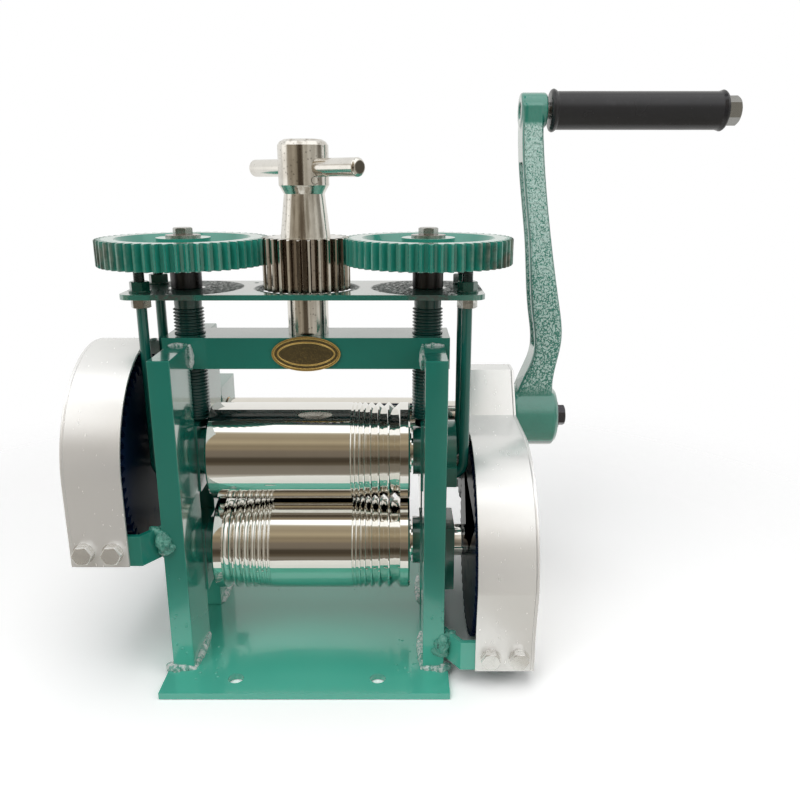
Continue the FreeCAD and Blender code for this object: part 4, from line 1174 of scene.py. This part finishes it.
# The strap weld's paler green patches are painted glints.
STRAP_WELD = WeldEnamel("strap_weld", colour=(0.03, 0.25, 0.185), low_colour=(0.09, 0.42, 0.32),
                        crest_colour=(0.13, 0.46, 0.36))
SCREW_GREEN = Enamel("screw_enamel", colour=(0.004, 0.060, 0.050), roughness=0.22, coat=0.5)
ROD_GREEN = RodEnamel("rod_enamel", colour=(0.006, 0.125, 0.098), roughness=0.18, coat=0.6)
NUT_GREEN = NutEnamel("nut_enamel", colour=(0.006, 0.115, 0.080))
CAST_GREEN = Hammertone("hammertone_green", colour=(0.025, 0.245, 0.180))
ROLL_CHROME = Steel("polished_roll", colour=(0.88, 0.87, 0.84), roughness=0.028, lines=(1.0, 0.01, 0.01),
                    line_scale=1600.0, line_depth=0.008, stain=0.04, edge_gain=0.1)
SHAFT_CHROME = Steel("polished_shaft", colour=(0.80, 0.77, 0.71), roughness=0.06, lines=(1.0, 0.02, 0.02),
                     line_scale=1200.0, line_depth=0.02, stain=0.06, edge_gain=0.1)
HANDLE_STEEL = HandleSteel("worn_steel", colour=(0.80, 0.775, 0.73), roughness=0.13, lines=(1.0, 1.0, 0.07),
                           line_scale=700.0, line_depth=0.05, stain=0.30, stain_colour=(0.26, 0.215, 0.155),
                           edge_gain=0.5, pits=0.45)
BAR_STEEL = BarSteel("bar_steel", colour=(0.82, 0.80, 0.76), roughness=0.12, lines=(0.6, 0.6, 1.0),
                     line_scale=500.0, line_depth=0.04, stain=0.2, edge_gain=0.4, pits=0.25)
BLACK_STEEL = Steel("black_steel", colour=(0.055, 0.055, 0.06), roughness=0.34, lines=(1.0, 1.0, 0.1),
                    line_depth=0.12, stain=0.3, edge_gain=0.5)
BRIGHT_STEEL = Steel("bright_steel", colour=(0.52, 0.51, 0.49), roughness=0.26, lines=(1.0, 1.0, 1.0),
                     line_depth=0.08, stain=0.25, edge_gain=0.4)
ZINC = Steel("zinc_fastener", colour=(0.90, 0.90, 0.885), roughness=0.20, lines=(1.0, 1.0, 1.0),
             line_scale=420.0, line_depth=0.14, stain=0.15, edge_gain=0.3, metal=0.75)
SPINDLE_STEEL = Steel("spindle_steel", colour=(0.33, 0.33, 0.32), roughness=0.26, lines=(1.0, 1.0, 1.0),
                      line_depth=0.08, stain=0.3, edge_gain=0.6)
DARK_BOLT = Steel("dark_bolt", colour=(0.09, 0.09, 0.105), roughness=0.3, lines=(1.0, 1.0, 1.0),
                  line_depth=0.08, stain=0.2, edge_gain=0.5)
SHEET_METAL = GuardSheet("guard_sheet")
NAVY = DarkPaint("navy_gear")
BRONZE = Steel("bronze_bush", colour=(0.56, 0.36, 0.15), roughness=0.28, stain=0.3,
               stain_colour=(0.16, 0.09, 0.04))
BRASS = PlaqueBrass("brass_plaque")
GRIP_BLACK = GripPlastic("black_grip")


# --- sub-assemblies -----------------------------------------------------------------------------


@dataclass
class WeldedFrame:
    """Base, posts, beam, chocks and brackets, welded and painted together."""

    edge: float = 0.0007
    post_inner_x: float = 0.068
    post_outer_x: float = 0.0805
    window_half: float = 0.01625
    post_depth: float = 0.040
    base_top: float = 0.004
    beam_bottom: float = 0.178
    post_top: float = 0.192
    chock_x: float = 0.0835
    chock_z: tuple[float, float] = (0.034, 0.076)
    bracket_z: tuple[float, float] = (0.084, 0.140)

    @property
    def post_end(self) -> float:
        """Distance of the posts' far faces from the middle, along Y."""
        return self.window_half + self.post_depth

    def bars(self) -> None:
        """Round the edges of every painted bar and plate."""
        for node, width in (("base_plate", 0.0006), ("crossbeam", 0.0009)):
            Bench.soften(node, GREEN, width)
        for side in Side:
            for part in ("front_post", "rear_post", "lower_chock", "shaft_bracket"):
                Bench.soften(f"{side.word}_{part}", GREEN, self.edge)

    def foot_runs(self, s: int) -> list[Run]:
        """List the beads round the feet of one side's two posts.

        Args:
            s: sign of the side's X.

        Returns:
            Name, start, end and radius of each bead.
        """
        inner, outer, z = s * self.post_inner_x, s * self.post_outer_x, self.base_top
        near, far = self.window_half, self.post_end
        a, b = inner + s * 0.001, outer - s * 0.001
        corner_a, corner_b = outer - s * 0.002, outer + s * 0.002
        return [
            ("foot_inner", (inner, 0.003 - far, z), (inner, -near - 0.004, z), 0.0034),
            ("foot_outer", (outer, 0.002 - far, z), (outer, -near - 0.003, z), 0.0030),
            ("foot_front", (a, -far, z), (b, -far, z), 0.0027),
            ("foot_corner", (corner_a, -far - 0.001, z), (corner_b, 0.002 - far, z), 0.0036),
            ("rear_foot_inner", (inner, near + 0.004, z), (inner, far - 0.003, z), 0.0034),
            ("rear_foot_outer", (outer, near + 0.004, z), (outer, far - 0.003, z), 0.0026),
            ("rear_foot_back", (a, far, z), (b, far, z), 0.0022),
        ]

    def beam_runs(self, s: int) -> list[Run]:
        """List the beads that join one end of the crossbeam to its posts.

        Args:
            s: sign of the side's X.

        Returns:
            Name, start, end and radius of each bead.
        """
        x, y, top = s * (self.post_inner_x - 0.0004), self.window_half, self.post_top
        low, high = self.beam_bottom + 0.001, top - 0.001
        a, b = s * (self.post_inner_x + 0.002), s * (self.post_outer_x - 0.002)
        lap = y + 0.0004
        return [
            ("beam_front", (x, -y, low), (x, -y, high), 0.0021),
            ("beam_back", (x, y, low), (x, y, high), 0.0021),
            ("beam_top_front", (a, -lap, top), (b, -lap, top), 0.0019),
            ("beam_top_back", (a, lap, top), (b, lap, top), 0.0019),
        ]

    def chock_runs(self, s: int) -> list[Run]:
        """List the beads round one lower chock and one shaft bracket.

        Args:
            s: sign of the side's X.

        Returns:
            Name, start, end and radius of each bead.
        """
        y, far = self.window_half, self.post_end
        x, top_x = s * (self.post_outer_x + 0.0004), s * (self.post_outer_x + 0.001)
        low_x = s * self.chock_x
        bottom, top = self.chock_z
        under, over, front_low, high = bottom + 0.0005, top - 0.0005, bottom + 0.006, top - 0.004
        outside, inside = s * (self.post_outer_x - 0.0002), s * (self.post_inner_x + 0.0002)
        foot, head = self.bracket_z
        return [
            ("chock_low", (low_x, 0.003 - y, under), (low_x, y - 0.003, under), 0.0016),
            ("chock_front", (x, -y, front_low), (x, -y, high), 0.0019),
            ("chock_top", (top_x, 0.002 - y, over), (top_x, y - 0.004, over), 0.0024),
            ("chock_back", (x, y, bottom + 0.004), (x, y, high), 0.0019),
            ("bracket", (outside, far, foot), (outside, far, head), 0.0019),
            ("bracket_inner", (inside, far, foot), (inside, far, head), 0.0019),
        ]

    def welds(self) -> None:
        """Lay the beads at the post feet, the beam's ends, the chocks and the brackets."""
        for side in Side:
            s = side.value
            for name, start, end, radius in self.foot_runs(s) + self.beam_runs(s) + self.chock_runs(s):
                bead = WeldBead(Vector(start), Vector(end), radius)
                piece = bead.lay(f"{side.word}_{name}_weld")
                Bench.fit(piece, WELD_GREEN, "frame", "green_enamel")

    def spatter(self) -> None:
        """Scatter droplets on the base and on the posts near the welds."""
        spots = [
            ("left_base", (-0.058, -0.050, self.base_top), (0.010, 0.018, 0.0), (0, 0, 1), 16),
            ("right_base", (0.060, -0.046, self.base_top), (0.008, 0.020, 0.0), (0, 0, 1), 16),
            ("rear_base", (0.0, 0.052, self.base_top), (0.066, 0.016, 0.0), (0, 0, 1), 18),
            ("left_post", (-0.0745, -0.05625, 0.040), (0.005, 0.0, 0.026), (0, 1, 0), 12),
            ("right_post", (0.0745, -0.05625, 0.034), (0.005, 0.0, 0.022), (0, 1, 0), 12),
        ]
        for seed, (name, centre, reach, lift, count) in enumerate(spots, start=5):
            drops = Spatter(Vector(centre), Vector(reach), Vector(lift), count, seed)
            Bench.fit(drops.scatter(f"{name}_spatter"), GREEN, "frame", "green_enamel")

    def build(self) -> None:
        """Build and finish the frame."""
        self.bars()
        self.welds()
        self.spatter()
        Bench.paint(BRONZE, "lower_bushes", "shaft_bushes")
        Bench.paint(BRIGHT_STEEL, "idler_pin")


@dataclass
class Plaque:
    """Blank oval brass plaque: polished rim, inner ridge and a stippled low field.

    The profile runs from the rim to the middle, as widths and the steps inwards at their ends.
    """

    centre_z: float = 0.18725
    back_y: float = -0.01625
    width: float = 0.040
    height: float = 0.0205
    thickness: float = 0.0015
    profile: tuple[tuple[float, float], ...] = (
        (0.0013, 0.0), (0.0003, 0.00055), (0.0014, 0.0),
        (0.00025, -0.0003), (0.0005, 0.0), (0.00025, 0.0003),
    )

    def build(self) -> None:
        """Model the plaque from a disc by insets and steps."""
        Bench.clear()
        place = (0, self.back_y, self.centre_z)
        bpy.ops.mesh.primitive_circle_add(vertices=96, radius=0.5, fill_type="NGON", location=place,
                                          rotation=(math.pi / 2, 0, 0))
        piece = bpy.context.object
        piece.scale = (self.width, self.height, 1.0)
        Bench.added("oval_plaque_finished")
        Bench.take(piece)
        bpy.ops.object.mode_set(mode="EDIT")
        bpy.ops.mesh.select_all(action="SELECT")
        bpy.ops.mesh.extrude_region_move(TRANSFORM_OT_translate={"value": (0, -self.thickness, 0)})
        for inset, drop in self.profile:
            bpy.ops.mesh.inset(thickness=inset, depth=0.0, use_even_offset=True)
            if drop:
                bpy.ops.transform.translate(value=(0, drop, 0))
        bpy.ops.mesh.select_all(action="SELECT")
        bpy.ops.mesh.normals_make_consistent(inside=False)
        bpy.ops.object.mode_set(mode="OBJECT")
        Bench.modify(piece, "BEVEL", width=0.00018, segments=2, limit_method="ANGLE",
                     angle_limit=math.radians(30))
        Bench.smooth(piece, 30.0)
        Bench.fit(piece, BRASS, "frame", "brass_plaque")
        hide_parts("oval_plaque")


@dataclass
class GearGuards:
    """Bent sheet guards, their straps and their bolts."""

    weld_x: float = 0.0792
    weld_y: float = -0.0560
    weld_rise: float = 0.0095
    grain: float = 0.004

    def strap_weld(self, side: Side) -> None:
        """Weld one side's front strap to its post, as a heap of lumps.

        Args:
            side: the side to weld.
        """
        low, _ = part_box(f"{side.word}_guard_straps")
        s = side.value
        post = Vector((s * self.weld_x, self.weld_y, low.z + self.weld_rise))
        lumps = [
            ("blob", (0.0, 0.0, 0.0), (0.0012, 0.0006, 0.0030), 0.0052, 0.0026),
            ("drip", (-0.0030, -0.0004, -0.0030), (0.0010, -0.0002, -0.0046), 0.0034, 0.0020),
            ("crest", (0.0016, 0.0016, 0.0050), (0.0060, 0.0010, 0.0078), 0.0027, 0.0018),
            ("seam", (0.0020, 0.0035, -0.0085), (0.0020, 0.0035, 0.0065), 0.0026, 0.0016),
        ]
        for name, start, end, radius, lump in lumps:
            a, b = (post + Vector((s * x, y, z)) for x, y, z in (start, end))
            piece = WeldBead(a, b, radius, lump, self.grain).lay(f"{side.word}_strap_{name}_weld")
            Bench.fit(piece, STRAP_WELD, "frame", "green_enamel")

    def build(self) -> None:
        """Round the sheet's edges and weld the straps to the frame."""
        for side in Side:
            Bench.soften(f"{side.word}_guard_band", SHEET_METAL, 0.0003, angle=40.0)
            Bench.soften(f"{side.word}_guard_cover", SHEET_METAL, 0.0005, angle=40.0)
            Bench.soften(f"{side.word}_guard_straps", GREEN, 0.0006)
            Bench.soften(f"{side.word}_guard_bolts", ZINC, 0.00025)
            self.strap_weld(side)


@dataclass
class LiftPlate:
    """Top plate, rods, nuts, upper chocks and bushes.

    The rub marks are given as their inner and outer radius.
    """

    screw_x: float = SCREW_X
    screw_rub: tuple[float, float] = (0.011, 0.033)
    pinion_rub: tuple[float, float] = (0.0275, 0.0305)

    def build(self) -> None:
        """Finish the lifting parts."""
        round_screws = [(side.value * self.screw_x, 0.0, *self.screw_rub) for side in Side]
        plate = PlateEnamel("plate_enamel", rings=(*round_screws, (0.0, 0.0, *self.pinion_rub)))
        Bench.soften("top_plate", plate, 0.0005, angle=40.0)
        for side in Side:
            Bench.soften(f"{side.word}_upper_chock", GREEN, 0.0006)
            Bench.soften(f"{side.word}_rod_nuts", NUT_GREEN, 0.00025)
            Bench.paint(ROD_GREEN, f"{side.word}_lift_rods")
        Bench.paint(BLACK_STEEL, "thrust_pads")
        Bench.paint(BRONZE, "upper_bushes")


@dataclass
class Adjusters:
    """Screws with collars, big gears and their bolts."""

    screw_x: float = SCREW_X
    module: float = 0.00175
    teeth: int = 54

    def build(self) -> None:
        """Finish both adjusters."""
        pitch_r = self.module * self.teeth / 2
        for side in Side:
            centre = (side.value * self.screw_x, 0.0, 0.0)
            gear = GearEnamel(f"{side.word}_gear_enamel", colour=(0.022, 0.29, 0.215), centre=centre,
                              root_r=pitch_r - 1.25 * self.module, tip_r=pitch_r + self.module)
            Bench.soften(f"{side.word}_top_gear", gear, 0.00022, angle=38.0)
            Bench.soften(f"{side.word}_screw", SCREW_GREEN, 0.00015, segments=1, angle=30.0)
            Bench.soften(f"{side.word}_screw_collar", BLACK_STEEL, 0.0004)
            Bench.soften(f"{side.word}_gear_bolt", BRIGHT_STEEL, 0.0003)


@dataclass
class THandle:
    """Pinion, knob and cross bar of worn bright steel."""

    knob_r: float = 0.0143
    grub_z: float = 0.2842
    grub_angle: float = -58.0
    grub_r: float = 0.0023
    grub_length: float = 0.0020
    socket_rim: float = 0.0009
    socket_depth: float = 0.0012

    def grub_screw(self) -> None:
        """Model the small grub screw in the knob, below the cross bar."""
        turn = math.radians(self.grub_angle)
        out = Vector((math.cos(turn), math.sin(turn), 0.0))
        place = out * (self.knob_r - 0.0004)
        place.z = self.grub_z
        Bench.clear()
        bpy.ops.mesh.primitive_cylinder_add(vertices=32, radius=self.grub_r, depth=self.grub_length,
                                            location=place, rotation=(0.0, math.pi / 2, turn))
        piece = Bench.added("knob_grub_screw")
        Bench.take(piece)
        bpy.ops.object.mode_set(mode="EDIT")
        mesh = bmesh.from_edit_mesh(piece.data)
        for face in mesh.faces:
            face.select = face.normal.dot(out) > 0.9
        bmesh.update_edit_mesh(piece.data)
        bpy.ops.mesh.inset(thickness=self.socket_rim)
        bpy.ops.transform.translate(value=tuple(-out * self.socket_depth))
        bpy.ops.object.mode_set(mode="OBJECT")
        Bench.modify(piece, "BEVEL", width=0.00012, segments=2, limit_method="ANGLE",
                     angle_limit=math.radians(40))
        Bench.smooth(piece)
        Bench.fit(piece, BRIGHT_STEEL, "t_handle", "worn_steel")

    def build(self) -> None:
        """Finish the handle."""
        Bench.soften("adjusting_pinion", HANDLE_STEEL, 0.0003, angle=30.0)
        Bench.soften("tommy_bar", BAR_STEEL, 0.0005, angle=30.0)
        Bench.paint(BRIGHT_STEEL, "pinion_retainer")
        self.grub_screw()


@dataclass
class RollsAndDrive:
    """Rolls, their gears, cross shaft, pinions and idler."""

    def build(self) -> None:
        """Finish the rolls and the gear train."""
        for roll in ("upper", "lower"):
            Bench.soften(f"{roll}_roll", ROLL_CHROME, 0.00012, angle=25.0)
            Bench.soften(f"{roll}_roll_gear", NAVY, 0.0003, angle=38.0)
            Bench.soften(f"{roll}_roll_nut", BRIGHT_STEEL, 0.0004)
            Bench.paint(BRIGHT_STEEL, f"{roll}_gear_key")
        Bench.soften("cross_shaft", SHAFT_CHROME, 0.0004)
        for node in ("left_drive_pinion", "right_drive_pinion", "idler_gear"):
            Bench.soften(node, NAVY, 0.00025, angle=38.0)
        Bench.paint(BRIGHT_STEEL, "drive_keys")


@dataclass
class Crank:
    """Cast arm, grip, spindle bolt and hub bolt."""

    voxel: float = 0.0008
    smoothings: int = 5

    def build(self) -> None:
        """Melt the arm's edges together like a casting's and finish the rest of the crank."""
        arm = Bench.soften("crank_arm", CAST_GREEN, 0.0006, segments=1, angle=34.0)
        Bench.modify(arm, "REMESH", mode="VOXEL", voxel_size=self.voxel, use_smooth_shade=True)
        Bench.modify(arm, "SMOOTH", factor=0.5, iterations=self.smoothings)
        Bench.soften("crank_bolt", DARK_BOLT, 0.0004)
        Bench.soften("grip_spindle", SPINDLE_STEEL, 0.0004)
        Bench.soften("grip", GRIP_BLACK, 0.0004, segments=3, angle=20.0)


@dataclass
class Studio:
    """Camera, lamps, white surroundings and floor.

    The bands light the reflections by height and the panels by X. Both run from 0 to 1, where 0.5
    is level, or the middle. A pair such as panels_left is where an effect starts and ends.
    """

    lens: float = 35.12
    place: Point = (0.0545, -0.4597, 0.2864)
    pitch_down: float = 16.0
    lamps: tuple[tuple[str, Point, float, float], ...] = (
        ("key", (-0.55, -0.85, 1.05), 0.75, 5.0),
        ("overhead", (0.05, -0.15, 1.35), 1.1, 6.0),
        ("fill", (1.05, -0.55, 0.75), 0.8, 2.5),
    )
    target: Point = (0.02, 0.0, 0.15)
    world_level: float = 0.36
    bands: tuple[Stop, ...] = (
        (0.10, (0.80, 0.79, 0.74)), (0.17, (0.42, 0.395, 0.34)), (0.20, (0.23, 0.205, 0.165)),
        (0.34, (0.20, 0.175, 0.14)), (0.38, (0.105, 0.085, 0.058)), (0.44, (0.060, 0.046, 0.030)),
        (0.50, (0.065, 0.052, 0.036)), (0.55, (0.17, 0.14, 0.105)), (0.64, (0.19, 0.155, 0.115)),
        (0.69, (0.27, 0.215, 0.14)), (0.74, (0.25, 0.20, 0.13)), (0.80, (0.42, 0.345, 0.225)),
        (0.86, (0.33, 0.27, 0.18)), (0.915, (0.38, 0.32, 0.22)), (0.930, (0.62, 0.58, 0.48)),
        (0.938, (1.3, 1.3, 1.28)), (0.988, (1.3, 1.3, 1.28)), (0.993, (0.02, 0.025, 0.04)),
        (1.0, (0.015, 0.02, 0.035)),
    )
    panels: tuple[Stop, ...] = (
        (0.0, (1.15, 1.13, 1.08)), (0.012, (1.15, 1.13, 1.08)), (0.035, (0.44, 0.40, 0.33)),
        (0.12, (0.30, 0.26, 0.20)), (0.20, (0.40, 0.355, 0.28)), (0.29, (0.26, 0.225, 0.17)),
        (0.36, (0.22, 0.19, 0.14)), (0.53, (0.33, 0.295, 0.24)), (0.58, (0.56, 0.53, 0.46)),
        (0.66, (0.36, 0.335, 0.28)), (0.76, (0.56, 0.53, 0.47)), (0.88, (0.42, 0.40, 0.35)),
        (0.96, (0.66, 0.64, 0.58)), (0.985, (0.30, 0.285, 0.25)), (1.0, (0.24, 0.23, 0.20)),
    )
    panels_left: tuple[float, float] = (-0.38, -0.29)
    panels_right: tuple[float, float] = (0.12, 0.05)
    panels_top: tuple[float, float] = (0.25, 0.72)
    rear_edge: tuple[float, float] = (0.20, 0.13)
    floor_size: float = 12.0
    floor_z: float = -0.0002
    floor_fade: tuple[float, float] = (0.28, 0.60)
    mirrored_fade: tuple[float, float] = (0.155, 0.168)

    def camera(self) -> None:
        """Place the camera in front of the machine, looking a little down."""
        data = bpy.data.cameras.new("camera")
        data.lens = self.lens
        data.sensor_width = 36.0
        data.clip_start = 0.01
        eye = bpy.data.objects.new("camera", data)
        eye.location = self.place
        eye.rotation_euler = (math.radians(90.0 - self.pitch_down), 0.0, 0.0)
        bpy.context.scene.collection.objects.link(eye)
        bpy.context.scene.camera = eye

    def lights(self) -> None:
        """Hang the soft area lamps."""
        for name, place, size, watts in self.lamps:
            data = bpy.data.lights.new(name, "AREA")
            data.shape = "SQUARE"
            data.size = size
            data.energy = watts
            lamp = bpy.data.objects.new(name, data)
            lamp.location = place
            aim = Vector(self.target) - Vector(place)
            lamp.rotation_euler = aim.to_track_quat("-Z", "Y").to_euler()
            lamp.visible_glossy = False
            bpy.context.scene.collection.objects.link(lamp)

    @staticmethod
    def ramp(sheet: NodeSheet, value: bpy.types.NodeSocket, stops: Sequence[Stop]) -> bpy.types.NodeSocket:
        """Turn a value into a colour by way of stops.

        Args:
            sheet: the node tree to add to.
            value: the socket that picks the colour.
            stops: position and colour of each stop, in order.

        Returns:
            The picked colour.
        """
        node = sheet.add("ValToRGB")
        held = node.color_ramp.elements
        while len(held) > 1:
            held.remove(held[-1])
        held[0].position, first = stops[0]
        held[0].color = (*first, 1.0)
        for spot, colour in stops[1:]:
            held.new(spot).color = (*colour, 1.0)
        sheet.join(value, node.inputs[0])
        return node.outputs[0]

    def surroundings(self) -> None:
        """White room for the eye, a banded studio for reflections and a soft level for the rest."""
        world = bpy.data.worlds.new("studio")
        bpy.context.scene.world = world
        world.use_nodes = True
        world.node_tree.nodes.clear()
        sheet = NodeSheet(world.node_tree)
        path = sheet.add("LightPath")
        direction = sheet.feed(sheet.add("SeparateXYZ"), Vector=sheet.add("TexCoord").outputs["Generated"])
        x, y, z = (direction.outputs[letter] for letter in "XYZ")
        bands = self.ramp(sheet, sheet.math("ADD", sheet.math("MULTIPLY", z, 0.5), 0.5), self.bands)
        panels = self.ramp(sheet, sheet.math("ADD", sheet.math("MULTIPLY", x, 0.5), 0.5), self.panels)
        panels = sheet.blend(sheet.spread(z, *self.panels_top), panels, (1.3, 1.29, 1.26))
        beside = sheet.math("MULTIPLY", sheet.spread(x, *self.panels_left),
                            sheet.spread(x, *self.panels_right))
        lit = sheet.blend(beside, panels, bands)
        mirrored = sheet.blend(sheet.spread(y, *self.rear_edge), (0.88, 0.875, 0.85), lit)
        level = (self.world_level,) * 3
        seen = sheet.blend(path.outputs["Is Glossy Ray"], level, mirrored)
        direct = sheet.math("MAXIMUM", path.outputs["Is Camera Ray"], path.outputs["Is Transmission Ray"])
        colour = sheet.blend(direct, seen, (1.0, 1.0, 1.0))
        shade = sheet.feed(sheet.add("Background"), Color=colour, Strength=1.0)
        sheet.join(shade.outputs[0], sheet.add("OutputWorld").inputs["Surface"])

    def floor(self) -> None:
        """Lay a wide pale floor under the base."""
        Bench.clear()
        bpy.ops.mesh.primitive_plane_add(size=self.floor_size, location=(0.0, 0.0, self.floor_z))
        floor = bpy.context.object
        floor.name = "floor"
        material = bpy.data.materials.new("floor")
        material.use_nodes = True
        material.node_tree.nodes.clear()
        sheet = NodeSheet(material.node_tree)
        path = sheet.add("LightPath")
        glossy = path.outputs["Is Glossy Ray"]
        lit = sheet.blend(glossy, (0.86, 0.86, 0.85), (0.98, 0.97, 0.92))
        colour = sheet.blend(path.outputs["Is Camera Ray"], lit, (1.28, 1.28, 1.28))
        matt = sheet.feed(sheet.add("BsdfDiffuse"), Color=colour)
        reach = sheet.off_axis(sheet.place(), (0.0, 0.0, 0.0))
        seen = sheet.math("MULTIPLY", sheet.spread(reach, *self.floor_fade),
                          sheet.math("SUBTRACT", 1.0, glossy))
        mirrored = sheet.math("MULTIPLY", sheet.spread(reach, *self.mirrored_fade), glossy)
        cover = sheet.add("MixShader")
        sheet.join(sheet.math("ADD", seen, mirrored), cover.inputs[0])
        sheet.join(matt.outputs[0], cover.inputs[1])
        sheet.join(sheet.add("BsdfTransparent").outputs[0], cover.inputs[2])
        sheet.join(cover.outputs[0], sheet.add("OutputMaterial").inputs["Surface"])
        floor.data.materials.append(material)

    def build(self) -> None:
        """Set up the studio."""
        self.camera()
        self.lights()
        self.surroundings()
        self.floor()
        bpy.context.scene.view_settings.view_transform = "Standard"


def main() -> None:
    """Build the machine's finishes and pieces, then the studio."""
    logging.basicConfig(level=logging.INFO, format="%(name)s: %(message)s")
    sections = (WeldedFrame(), Plaque(), GearGuards(), LiftPlate(), Adjusters(), THandle(), RollsAndDrive(),
                Crank(), Studio())
    for section in sections:
        section.build()
        LOG.info("%s is built", type(section).__name__)


if __name__ == "__main__":
    main()
